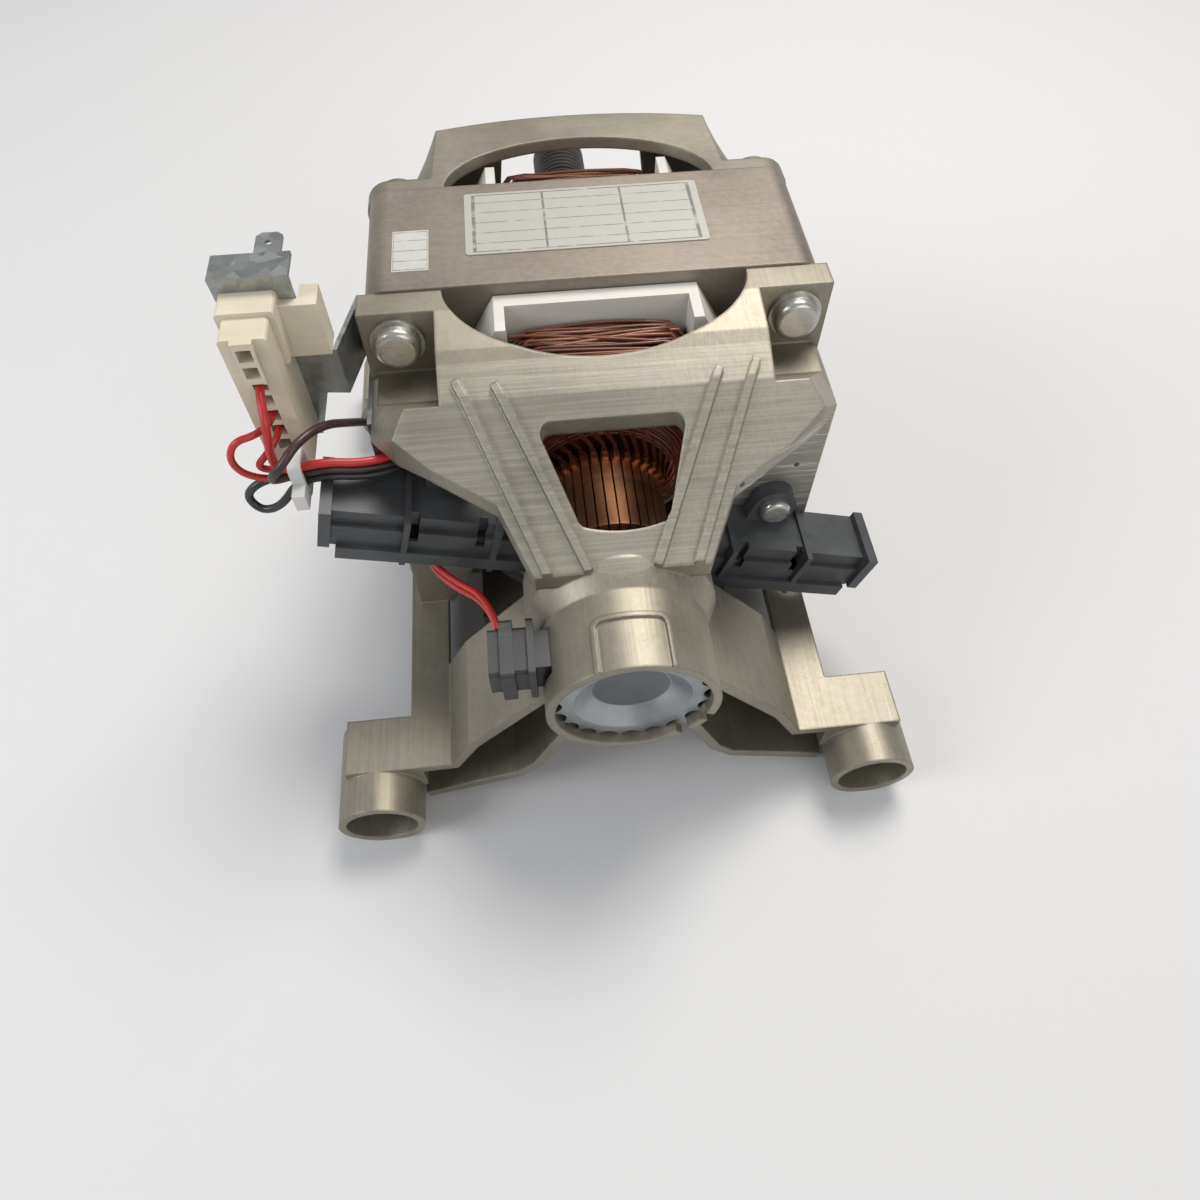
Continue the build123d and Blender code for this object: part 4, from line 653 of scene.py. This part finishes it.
@dataclass
class WireTubes:
    """Wires with a round section, which a Geometry Nodes tree sweeps along their lines."""

    wire_r: float
    sides: int
    shade_seed: int = 5

    def group(self, material: Material) -> NodeTree:
        """Build the tree: curve to mesh, a number for each turn, material.

        Args:
            material: Finish of the wires.

        Returns:
            The node tree.
        """
        tree = bpy.data.node_groups.new("wire_tubes", "GeometryNodeTree")
        face = tree.interface
        face.new_socket("Geometry", in_out="INPUT", socket_type="NodeSocketGeometry")
        radius = face.new_socket("Wire Radius", in_out="INPUT", socket_type="NodeSocketFloat")
        sides = face.new_socket("Sides", in_out="INPUT", socket_type="NodeSocketInt")
        face.new_socket("Geometry", in_out="OUTPUT", socket_type="NodeSocketGeometry")
        radius.default_value = self.wire_r
        sides.default_value = self.sides
        start = tree.nodes.new("NodeGroupInput")
        end = tree.nodes.new("NodeGroupOutput")
        ring = tree.nodes.new("GeometryNodeCurvePrimitiveCircle")
        island = tree.nodes.new("GeometryNodeInputMeshIsland")
        shade = tree.nodes.new("FunctionNodeRandomValue")
        tube = tree.nodes.new("GeometryNodeCurveToMesh")
        store = tree.nodes.new("GeometryNodeStoreNamedAttribute")
        smooth = tree.nodes.new("GeometryNodeSetShadeSmooth")
        paint = tree.nodes.new("GeometryNodeSetMaterial")
        shade.inputs["Seed"].default_value = self.shade_seed
        tube.inputs["Fill Caps"].default_value = True
        store.inputs["Name"].default_value = "turn"
        paint.inputs["Material"].default_value = material
        value = next(s for s in shade.outputs if s.enabled and s.type == "VALUE")
        for source, target in (
            (start.outputs["Sides"], ring.inputs["Resolution"]),
            (start.outputs["Wire Radius"], ring.inputs["Radius"]),
            (island.outputs["Island Index"], shade.inputs["ID"]),
            (start.outputs["Geometry"], tube.inputs["Curve"]),
            (ring.outputs["Curve"], tube.inputs["Profile Curve"]),
            (tube.outputs["Mesh"], store.inputs["Geometry"]),
            (value, store.inputs["Value"]),
            (store.outputs["Geometry"], smooth.inputs["Geometry"]),
            (smooth.outputs["Geometry"], paint.inputs["Geometry"]),
            (paint.outputs["Geometry"], end.inputs["Geometry"]),
        ):
            tree.links.new(source, target)
        return tree

    def wind(
        self, name: str, paths: list[list[Vector]], closed: bool, material: Material, smooth: bool = False
    ) -> Object:
        """Make one mesh piece from many wires.

        Args:
            name: Name of the piece.
            paths: Centre lines, one for each wire.
            closed: Whether each wire ends where it starts.
            material: Finish of the wires.
            smooth: Take the points as the control points of a smooth curve.

        Returns:
            The finished piece, as a plain mesh.
        """
        curve = bpy.data.curves.new(name + "_lines", "CURVE")
        curve.dimensions = "3D"
        for path in paths:
            spline = curve.splines.new("NURBS" if smooth else "POLY")
            spline.points.add(len(path) - 1)
            for point, place in zip(spline.points, path):
                point.co = (*place, 1.0)
            spline.use_cyclic_u = closed
            if smooth:
                spline.order_u = 3
                spline.use_endpoint_u = True
        lines = add_object(name + "_lines", curve)
        modifier = lines.modifiers.new("tubes", "NODES")
        modifier.node_group = self.group(material)
        given = {"Wire Radius": self.wire_r, "Sides": self.sides}
        for item in modifier.node_group.interface.items_tree:
            if item.name in given:
                modifier[item.identifier] = given[item.name]
        seen = lines.evaluated_get(bpy.context.evaluated_depsgraph_get())
        mesh = bpy.data.meshes.new_from_object(seen)
        mesh.name = name
        if not mesh.materials:
            mesh.materials.append(material)
        bpy.data.objects.remove(lines)
        return add_object(name, mesh)


def dress(material: Material, *nodes: str) -> None:
    """Give the solids of these nodes a finish."""
    for name in nodes:
        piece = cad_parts[name]
        if not piece.material_slots:
            piece.data.materials.append(material)
        for slot in piece.material_slots:
            slot.link = "OBJECT"
            slot.material = material
        log.info("dressed %s", name)


# Sub-assemblies


@dataclass
class Housing:
    """The two bells, the stack and everything that holds them together."""

    plate_low: Pair = (-32.8 * MM, -121.0 * MM)
    plate_high: Pair = (32.2 * MM, -94.0 * MM)
    small_low: Pair = (-52.2 * MM, -125.8 * MM)
    small_high: Pair = (-42.6 * MM, -108.8 * MM)
    pits: tuple[Triple, ...] = (
        (54.4 * MM, -163.0 * MM, 13.1 * MM),
        (31.6 * MM, -185.5 * MM, 33.7 * MM),
    )

    def build(self) -> None:
        """Dress the housing's solids."""
        front = CastAluminium(pits=self.pits)
        dress(front.build("cast_front_bell", Grain.ALONG_SHAFT), "front_bell")
        dress(CastAluminium().build("cast_rear_bell", Grain.ACROSS), "rear_bell")
        dress(LaminatedSteel().build("stack_sheets"), "stator_core", "armature_core")
        zinc = PlatedSteel((0.6, 0.59, 0.55), (0.4, 0.39, 0.36), 900.0, 0.12, 0.2)
        dress(zinc.build("zinc_screws"), "stator_screws", "brush_holder_screws", "bracket_screw")
        galvanised = PlatedSteel((0.44, 0.46, 0.45), (0.25, 0.265, 0.26), 380.0, 0.4)
        dress(galvanised.build("galvanised_sheet"), "connector_bracket")
        dress(PressedCap().build("pressed_cap"), "bearing_cap")
        plate = LabelFilm(self.plate_low, self.plate_high)
        dress(plate.build("rating_film"), "rating_plate")
        small = LabelFilm(self.small_low, self.small_high, 4.0, 1.0, (0.6, 0.59, 0.56))
        dress(small.build("small_film"), "small_label")


@dataclass
class FieldCoils:
    """Two saddle coils of enamelled wire, wound turn by turn round the poles."""

    inner_r: float = 39.9 * MM
    outer_r: float = 48.7 * MM
    inner_half_angle: float = radians(36.0)
    outer_half_angle: float = radians(60.0)
    inner_overhang: float = 5.7 * MM
    outer_overhang: float = 19.4 * MM
    wire_r: float = 0.5 * MM
    layers: int = 9
    columns: int = 11
    seed: int = 3
    column_jitter: float = 0.02
    corner_r: float = 7.0 * MM
    corner_steps: int = 8
    step: float = 5.0 * MM
    loose_reach: float = 9.0 * MM
    rise: float = 0.55 * MM
    shift: float = 0.6 * MM
    flat_half: float = 19.0 * MM
    cheek_half: float = 23.2 * MM
    clear_reach: float = 1.5 * MM
    stray_leans: tuple[float, ...] = (0.62, -0.4, 0.3)
    stray_angle: float = radians(40.0)
    stray_half: float = 23.75 * MM
    stray_sink: float = 1.2 * MM
    stray_step: float = 0.3 * MM
    stray_steps: int = 20

    def stray(self, up: int, number: int) -> list[Vector]:
        """Centre line of a loose strand that lies slantwise over the front end turns.

        Args:
            up: 1 for the upper coil, -1 for the lower one.
            number: Which strand, counted from 0.

        Returns:
            Points along the strand.
        """
        points = []
        depth = self.outer_overhang - self.inner_overhang
        r = self.outer_r + self.wire_r * 0.3 - number * self.stray_step
        for i in range(self.stray_steps + 1):
            t = i / self.stray_steps
            angle = self.stray_angle * (2.0 * t - 1.0) * (1.0 - 0.12 * number)
            reach = self.inner_overhang + (0.5 + self.stray_leans[number] * (t - 0.5)) * depth
            sink = self.stray_sink * (2.0 * t - 1.0) ** 4
            across = self.stray_half * sin(angle) / sin(self.stray_angle)
            points.append(Vector((across, STACK_FRONT - reach, up * (r - sink))))
        return points

    def loop(self, up: int, layer: float, column: float, wobble: random.Random) -> list[Vector]:
        """Centre line of one turn.

        Args:
            up: 1 for the upper coil, -1 for the lower one.
            layer: 0 at the bore, 1 at the yoke.
            column: 0 at the pole, 1 at the outside.
            wobble: Source of the turn's small shifts.

        Returns:
            Points round the turn.
        """
        radius = self.inner_r + layer * (self.outer_r - self.inner_r)
        half = self.inner_half_angle + column * (self.outer_half_angle - self.inner_half_angle)
        reach = self.inner_overhang + column * (self.outer_overhang - self.inner_overhang)
        half_u = half * radius
        corner = self.corner_r * (1.0 + column)
        front_v = STACK_FRONT - reach
        rear_v = STACK_REAR + reach
        flat = []
        for centre_u, centre_v, start in (
            (half_u - corner, rear_v - corner, 0.0),
            (-half_u + corner, rear_v - corner, pi / 2),
            (-half_u + corner, front_v + corner, pi),
            (half_u - corner, front_v + corner, 3 * pi / 2),
        ):
            for i in range(self.corner_steps + 1):
                angle = start + pi / 2 * i / self.corner_steps
                flat.append((centre_u + corner * cos(angle), centre_v + corner * sin(angle)))
        filled = []
        for (u0, v0), (u1, v1) in zip(flat, flat[1:] + flat[:1]):
            du, dv = u1 - u0, v1 - v0
            steps = max(1, int(sqrt(du**2 + dv**2) / self.step))
            filled += [(u0 + du * i / steps, v0 + dv * i / steps) for i in range(steps)]
        phases = [wobble.uniform(0, 2 * pi) for _ in range(4)]
        points = []
        for i, (u, v) in enumerate(filled):
            turn = 2 * pi * i / len(filled)
            outside = max(0.0, STACK_FRONT - v, v - STACK_REAR)
            loose = min(1.0, outside / self.loose_reach)
            rise = sin(3 * turn + phases[0]) + 0.6 * sin(7 * turn + phases[1])
            shift = sin(4 * turn + phases[2]) + 0.5 * sin(9 * turn + phases[3])
            r = held(radius + self.rise * loose * rise, self.inner_r, self.outer_r)
            pull = (v - (STACK_FRONT + STACK_REAR) / 2) / (0.5 * (rear_v - front_v))
            phi = u / radius
            across, height = r * sin(phi), r * cos(phi)
            bent = (abs(across) - self.flat_half) / (self.cheek_half - self.flat_half)
            clear = held((outside - self.inner_overhang) / self.clear_reach)
            height += (r - height) * eased(1.0 - held(bent)) * clear
            points.append(Vector((across, v - self.shift * loose * shift * pull, up * height)))
        return points

    def build(self) -> None:
        """Wind both coils and hide the plain solids."""
        material = EnamelledWire().build("field_wire")
        for up, place in ((1, "top"), (-1, "bottom")):
            wobble = random.Random(self.seed + up)
            paths = []
            for layer in range(self.layers):
                for column in range(self.columns):
                    jitter = wobble.uniform(-self.column_jitter, self.column_jitter)
                    where = (column + 0.5 * (layer % 2)) / (self.columns - 0.5) + jitter
                    paths.append(self.loop(up, layer / (self.layers - 1), held(where), wobble))
            name = f"field_coil_{place}_turns"
            piece = WireTubes(self.wire_r, 5).wind(name, paths, True, material)
            strays = [self.stray(up, number) for number in range(len(self.stray_leans))]
            loose_name = f"field_coil_{place}_strands"
            loose = WireTubes(self.wire_r, 6).wind(loose_name, strays, False, material)
            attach(loose, Body.MOTOR.value)
            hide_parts(f"field_coil_{place}")
            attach(piece, Body.MOTOR.value)
            log.info("wound %s with %d turns", name, len(paths))
        white = Moulding((0.6, 0.585, 0.54), (0.74, 0.72, 0.68), 0.38, subsurface=0.15)
        dress(white.build("white_nylon_frame"), "coil_frame_top", "coil_frame_bottom")


@dataclass
class Armature:
    """Wound armature: winding heads, wires to the commutator, shaft and pulley."""

    slots: int = 12
    wires_per_slot: int = 13
    span: float = radians(150.0)
    slot_r: float = 27.0 * MM
    front_head: float = 19.6 * MM
    rear_head: float = 16.2 * MM
    outer_r: float = 30.2 * MM
    nose_r: float = 21.0 * MM
    wire_r: float = 0.42 * MM
    hook_r: float = 18.2 * MM
    hook_reach: float = 24.2 * MM
    bars: int = 36
    seed: int = 11
    slot_jitter: float = 0.05
    wire_jitter: float = 0.3 * MM
    head_steps: int = 28
    head_start: float = 0.5 * MM
    resin_bore: float = 7.6 * MM
    resin_step: float = 1.0 * MM
    resin_inset: float = 3.0 * MM
    resin_nose_inset: float = 1.4 * MM

    def head_paths(self, root: float, out: float, height: float) -> list[list[Vector]]:
        """Centre lines of one winding head.

        Args:
            root: y of the core's face.
            out: -1 towards the front, 1 towards the pulley.
            height: Length of the head.

        Returns:
            One open line for each wire.
        """
        wobble = random.Random(self.seed + int(out))
        paths = []
        for slot in range(self.slots):
            for wire in range(self.wires_per_slot):
                share = wire / (self.wires_per_slot - 1)
                start = 2 * pi * slot / self.slots
                start += wobble.uniform(-self.slot_jitter, self.slot_jitter)
                middle_r = self.outer_r - share * (self.outer_r - self.nose_r)
                middle_r += wobble.uniform(-self.wire_jitter, self.wire_jitter)
                top = height * (0.3 + 0.68 * sqrt(share))
                top += wobble.uniform(-self.wire_jitter, self.wire_jitter)
                path = []
                for i in range(self.head_steps + 1):
                    t = i / self.head_steps
                    lift = eased(min(1.0, 4.2 * min(t, 1 - t)))
                    r = self.slot_r + (middle_r - self.slot_r) * lift
                    y = root + out * (self.head_start + (top - self.head_start) * lift**0.7)
                    path.append(round_shaft(r, start + self.span * t, y))
                paths.append(path)
        return paths

    def hook_paths(self) -> list[list[Vector]]:
        """Centre lines of the wires that run from the front head to the commutator's hooks."""
        wobble = random.Random(self.seed)
        paths = []
        for bar in range(self.bars):
            angle = 2 * pi * bar / self.bars
            for step in (0, 1):
                lead = angle + 0.2 + 0.09 * step + wobble.uniform(0.0, 0.05)
                stops = (
                    (lead, self.nose_r + 2.4 * MM, self.front_head * 0.76),
                    ((lead + angle) / 2, self.nose_r + 0.7 * MM, self.front_head * 0.97),
                    (angle + 0.03 * step, self.hook_r + 0.9 * MM, self.hook_reach - 2.6 * MM),
                    (angle - 0.015 + 0.03 * step, self.hook_r + 0.5 * MM, self.hook_reach),
                )
                paths.append([round_shaft(r, a, STACK_FRONT - reach) for a, r, reach in stops])
        return paths

    def resin_profile(self) -> list[Pair]:
        """Outline of the resin that fills both heads, from the front end of its bore."""
        nose = self.nose_r - self.resin_nose_inset
        rim = self.outer_r - self.resin_inset
        waist = self.resin_bore + self.resin_step
        middle = (STACK_FRONT + STACK_REAR) / 2
        front, rear = self.front_head, self.rear_head
        return [
            (self.resin_bore, STACK_FRONT - front * 0.86),
            (self.resin_bore, STACK_REAR + rear * 0.86),
            (nose, STACK_REAR + rear * 0.86),
            (rim, STACK_REAR + rear * 0.45),
            (rim, STACK_REAR + 0.1 * MM),
            (waist, STACK_REAR + 0.05 * MM),
            (waist, middle),
            (waist, STACK_FRONT - 0.05 * MM),
            (rim, STACK_FRONT - 0.1 * MM),
            (rim, STACK_FRONT - front * 0.45),
            (nose, STACK_FRONT - front * 0.86),
        ]

    def build(self) -> None:
        """Wind the heads and dress the rotor's solids."""
        wire = EnamelledWire((0.3, 0.075, 0.04), (0.085, 0.022, 0.016), 0.24).build("armature_wire")
        paths = self.head_paths(STACK_FRONT, -1, self.front_head)
        paths += self.head_paths(STACK_REAR, 1, self.rear_head)
        paths += self.hook_paths()
        winding = WireTubes(self.wire_r, 5).wind("armature_turns", paths, False, wire)
        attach(winding, Body.ROTOR.value)
        core = lathe("armature_resin", self.resin_profile())
        resin = Moulding((0.05, 0.015, 0.01), (0.1, 0.03, 0.02), 0.3)
        core.data.materials.append(resin.build("winding_resin"))
        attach(core, Body.ROTOR.value)
        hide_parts("armature_winding")
        log.info("wound the armature with %d wires", len(paths))
        dress(CommutatorCopper().build("commutator_copper"), "commutator_bars")
        hub = Moulding((0.012, 0.012, 0.012), (0.03, 0.028, 0.026), 0.5)
        dress(hub.build("commutator_resin"), "commutator_hub")
        ends = ("front", "rear")
        inner = [f"{end}_bearing_inner_ring" for end in ends]
        dress(TurnedSteel().build("ground_steel"), "shaft", *inner)
        outer = [f"{end}_bearing_{part}" for part in ("outer_ring", "balls") for end in ends]
        dress(TurnedSteel(gloss=0.16).build("bearing_steel"), *outer)
        dark = TurnedSteel((0.16, 0.155, 0.15), (0.045, 0.045, 0.045), 0.3)
        dress(dark.build("dark_pulley"), "belt_pulley")
        magnet = TurnedSteel((0.1, 0.1, 0.1), (0.05, 0.05, 0.05), 0.4)
        dress(magnet.build("sintered_magnet"), "tacho_magnet")


@dataclass
class BrushSpring:
    """Coil spring behind one brush, its turns closer together at both ends."""

    place: str
    side: int
    start: float = 48.0 * MM
    end: float = 76.3 * MM
    station: float = -173.0 * MM
    tilt: float = radians(16.0)
    coil_r: float = 1.8 * MM
    wire_r: float = 0.4 * MM
    turns: int = 9
    points_per_turn: int = 16
    closed_share: float = 0.4
    keep: float = 0.588

    def build(self, material: Material) -> None:
        """Wind the spring in place of its solid and tie it to the motor's body."""
        out = Vector((self.side * cos(self.tilt), 0.0, -self.side * sin(self.tilt)))
        level = Vector((0.0, 1.0, 0.0))
        above = out.cross(level)
        middle = Vector((0.0, self.station, 0.0))
        steps = self.points_per_turn * self.turns
        path = []
        for i in range(steps + 1):
            t = i / steps
            share = t + self.closed_share * (0.5 - 0.5 * cos(pi * t) - t)
            angle = 2.0 * pi * self.turns * t
            ring = (level * cos(angle) + above * sin(angle)) * self.coil_r
            path.append(middle + out * (self.start + share * (self.end - self.start)) + ring)
        name = f"{self.place}_brush_coil"
        piece = WireTubes(self.wire_r, 8).wind(name, [path], False, material)
        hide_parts(f"{self.place}_brush_spring")
        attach(piece, Body.MOTOR.value)
        anchor = middle + out * (self.end + self.wire_r)
        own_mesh(piece)
        log.info("wound the spring of the %s brush", self.place)


@dataclass
class BrushGear:
    """Brush holders, brushes and their springs."""

    def build(self) -> None:
        """Dress the brush gear's solids."""
        holder = Moulding((0.042, 0.046, 0.05), (0.1, 0.106, 0.112), 0.34)
        dress(holder.build("holder_plastic"), "left_brush_holder", "right_brush_holder")
        carbon = Moulding((0.018, 0.018, 0.018), (0.05, 0.05, 0.05), 0.45, 0.1 * MM)
        dress(carbon.build("brush_carbon"), "left_brush", "right_brush")
        wire = TurnedSteel(gloss=0.25).build("spring_wire")
        BrushSpring("left", -1).build(wire)
        BrushSpring("right", 1).build(wire)


@dataclass
class Lead:
    """One insulated lead: its solid's node, and its radius and route in millimetres."""

    node: str
    radius: float
    finish: str
    route: tuple[Triple, ...]

    def build(self, material: Material) -> None:
        """Lay the lead as a smooth tube that replaces its solid."""
        path = [Vector(point) * MM for point in self.route]
        tubes = WireTubes(self.radius * MM, 16)
        piece = tubes.wind(f"{self.node}_tube", [path], False, material, smooth=True)
        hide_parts(self.node)
        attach(piece, Body.MOTOR.value)
        log.info("laid %s", self.node)


# Where the leads from the tie to the field coil lie side by side, in millimetres
SHARED_RUN = (
    *((-71.5, -171.2, 33.6), (-63.5, -169.6, 30.3), (-55.3, -165.8, 28.0)),
    *((-50.8, -160.2, 27.0), (-49.6, -153.6, 26.6), (-47.8, -149.2, 26.4)),
)


def shared_run(rise: float) -> tuple[Triple, ...]:
    """Way of a lead from the tie to the field coil, raised by some millimetres."""
    return tuple((x, y, z + rise) for x, y, z in SHARED_RUN)


LEADS = (
    Lead("red_lead", 1.1, "red", (
        *((-82.5, -159.6, 56.5), (-82.5, -164.2, 56.5), (-81.6, -170.4, 52.6), (-82.8, -172.2, 46.0)),
        *((-83.6, -171.8, 36.6), *shared_run(5.0), (-41.5, -147.0, 31.2)),
    )),
    Lead("black_lead", 1.1, "black", (
        *((-82.5, -159.6, 31.5), (-82.5, -164.2, 31.5), (-86.0, -168.0, 31.0), (-91.4, -169.4, 30.2)),
        *((-95.0, -169.4, 25.8), (-92.0, -171.0, 21.6), (-86.0, -172.0, 24.2), (-80.0, -171.0, 31.9)),
        *(*shared_run(0.0), (-44.0, -147.0, 26.2)),
    )),
    Lead("dark_lead", 1.1, "dark", (
        *((-63.6, -150.0, 30.0), (-66.4, -156.4, 36.6), (-70.6, -164.4, 44.6), (-75.8, -172.0, 47.0)),
        *((-80.2, -176.6, 43.6), (-84.0, -176.0, 39.4), (-84.4, -173.6, 35.8), (-80.0, -171.0, 34.4)),
        *(*shared_run(2.5), (-42.8, -147.0, 28.7)),
    )),
    Lead("tacho_lead_1", 0.9, "red", (
        *((-82.5, -159.6, 46.5), (-82.5, -164.2, 46.5), (-85.6, -169.6, 47.8), (-90.6, -171.0, 47.6)),
        *((-93.4, -171.6, 42.6), (-92.0, -171.8, 37.2), (-86.6, -170.6, 33.0), (-79.9, -168.5, 31.9)),
        *((-71.7, -168.7, 33.6), (-64.3, -167.2, 30.3), (-56.8, -163.8, 28.0), (-52.7, -158.6, 27.0)),
        *((-53.6, -155.4, 23.0), (-54.6, -154.6, 14.6), (-54.4, -156.0, 6.2), (-54.0, -161.2, 1.4)),
        *((-53.6, -169.0, 0.6), (-50.6, -178.0, 0.6), (-43.6, -185.8, 1.8), (-37.4, -191.6, 4.4)),
        *((-33.2, -202.3, 6.5), (-33.2, -205.0, 6.5)),
    )),
    Lead("tacho_lead_2", 0.9, "red", (
        *((-82.5, -159.6, 41.5), (-82.5, -164.2, 41.5), (-85.0, -169.6, 41.0), (-88.4, -170.4, 37.9)),
        *((-85.4, -169.6, 35.2), (-79.9, -168.5, 34.4), (-71.7, -168.7, 36.1), (-64.3, -167.2, 32.8)),
        *((-56.8, -163.8, 30.5), (-52.7, -158.6, 29.5), (-54.4, -152.6, 25.0), (-54.6, -152.0, 14.6)),
        *((-54.4, -153.6, 4.6), (-54.0, -160.6, -1.2), (-53.6, -169.4, -1.8), (-50.6, -178.6, -1.8)),
        *((-43.6, -186.4, -0.6), (-37.4, -192.2, 2.0), (-33.2, -202.3, 4.4), (-33.2, -205.0, 4.4)),
    )),
)


INSULATIONS = {
    "red": Insulation((0.52, 0.02, 0.018), (0.32, 0.02, 0.02)),
    "black": Insulation((0.012, 0.014, 0.014), (0.04, 0.042, 0.042)),
    "dark": Insulation((0.035, 0.014, 0.016), (0.07, 0.035, 0.035)),
}


@dataclass
class Wiring:
    """Connector, tacho and leads."""

    def build(self) -> None:
        """Lay the leads and dress the connector, the plug and the tie."""
        sleeves = {key: finish.build(f"{key}_insulation") for key, finish in INSULATIONS.items()}
        for lead in LEADS:
            lead.build(sleeves[lead.finish])
        ivory = Moulding((0.6, 0.535, 0.41), (0.72, 0.67, 0.55), 0.36, subsurface=0.12)
        dress(ivory.build("ivory_connector"), "connector_housing")
        # The plug's own dark plastic; on the tacho coil's ivory header the same dark colour is painted
        # shade.
        plug = Moulding((0.02, 0.022, 0.024), (0.055, 0.056, 0.06), 0.36)
        dress(plug.build("plug_plastic_and_coil_shade"), "tacho_plug", "tacho_coil")
        tinned = PlatedSteel((0.62, 0.55, 0.42), (0.35, 0.3, 0.2), 700.0)
        dress(tinned.build("tinned_terminals"), "connector_terminals")
        tie = Moulding((0.62, 0.62, 0.61), (0.74, 0.74, 0.73), 0.3, subsurface=0.2)
        dress(tie.build("tie_nylon"), "cable_tie")


@dataclass(frozen=True)
class Lamp:
    """One soft square lamp: its place and size in metres, its power in watts and its tint."""

    name: str
    place: Triple
    width: float
    power: float
    tint: Colour

    def hang(self, target: Vector) -> None:
        """Put the lamp in the scene, turned towards a point."""
        data = bpy.data.lights.new(self.name, "AREA")
        data.size = self.width
        data.energy = self.power
        data.color = self.tint
        item = add_object(self.name, data)
        item.location = self.place
        aim = target - Vector(self.place)
        item.rotation_euler = aim.to_track_quat("-Z", "Y").to_euler()


@dataclass
class Studio:
    """Floor, lamps and camera; the camera's place is in millimetres."""

    eye: Triple = (-18.59, -325.8, 204.8)
    turn: float = radians(5.79)
    down: float = radians(57.16)
    roll: float = radians(-0.25)
    lens: float = 26.62
    film_width: float = 36.0
    nearest: float = 0.01
    floor_z: float = -65.7 * MM
    floor_half: float = 6.0
    pale: Colour = (0.64, 0.64, 0.645)
    dusty: Colour = (0.57, 0.57, 0.58)
    lit: Triple = (0.0, -0.12, 0.0)
    lamps: tuple[Lamp, ...] = (
        Lamp("overhead", (0.3, 0.3, 1.0), 0.55, 11.0, (1.0, 0.96, 0.9)),
        Lamp("window_side", (-0.9, -0.4, 0.6), 0.5, 4.8, (0.93, 0.96, 1.0)),
        Lamp("front_fill", (0.5, -1.1, 0.6), 0.8, 3.6, (1.0, 0.98, 0.95)),
    )
    sky: Colour = (0.9, 0.92, 0.95)
    sky_strength: float = 0.4

    def camera(self) -> None:
        """Put the camera where the photograph was taken."""
        level = cos(self.down)
        forward = Vector((sin(self.turn) * level, cos(self.turn) * level, -sin(self.down)))
        right = Vector((cos(self.turn), -sin(self.turn), 0.0))
        above = right.cross(forward)
        side = right * cos(self.roll) + above * sin(self.roll)
        above = above * cos(self.roll) - right * sin(self.roll)
        data = bpy.data.cameras.new("camera")
        data.sensor_fit = "HORIZONTAL"
        data.sensor_width = self.film_width
        data.lens = self.lens
        data.clip_start = self.nearest
        item = add_object("camera", data)
        turned = Matrix((side, above, -forward)).transposed()
        item.matrix_world = Matrix.Translation(Vector(self.eye) * MM) @ turned.to_4x4()
        bpy.context.scene.camera = item

    def floor(self) -> None:
        """Lay the plain pale floor under the lugs."""
        corners = ((-1, -1), (1, -1), (1, 1), (-1, 1))
        points = [Vector((x * self.floor_half, y * self.floor_half, self.floor_z)) for x, y in corners]
        floor = new_piece("floor", points, [(0, 1, 2, 3)])
        tree = ShaderTree("pale_floor")
        speck = tree.noise(90.0, 3.0)
        colour = tree.mix(speck * 0.08, self.pale, self.dusty)
        floor.data.materials.append(tree.finish(colour, 0.7, tree.bump(speck, 0.1 * MM, 0.2)))

    def build(self) -> None:
        """Set the stage."""
        self.camera()
        self.floor()
        for lamp in self.lamps:
            lamp.hang(Vector(self.lit))
        world = bpy.data.worlds.new("studio")
        bpy.context.scene.world = world
        world.use_nodes = True
        background = world.node_tree.nodes["Background"]
        background.inputs["Color"].default_value = (*self.sky, 1.0)
        background.inputs["Strength"].default_value = self.sky_strength
        bpy.context.scene.view_settings.view_transform = "Standard"
        log.info("stage done")


def main() -> None:
    """Build the stage and every sub-assembly in order."""
    logging.basicConfig(level=logging.INFO, format="%(name)s: %(message)s")
    Studio().build()
    for part in (Housing(), FieldCoils(), Armature(), BrushGear(), Wiring()):
        part.build()
        log.info("built %s", type(part).__name__)


if __name__ == "__main__":
    main()
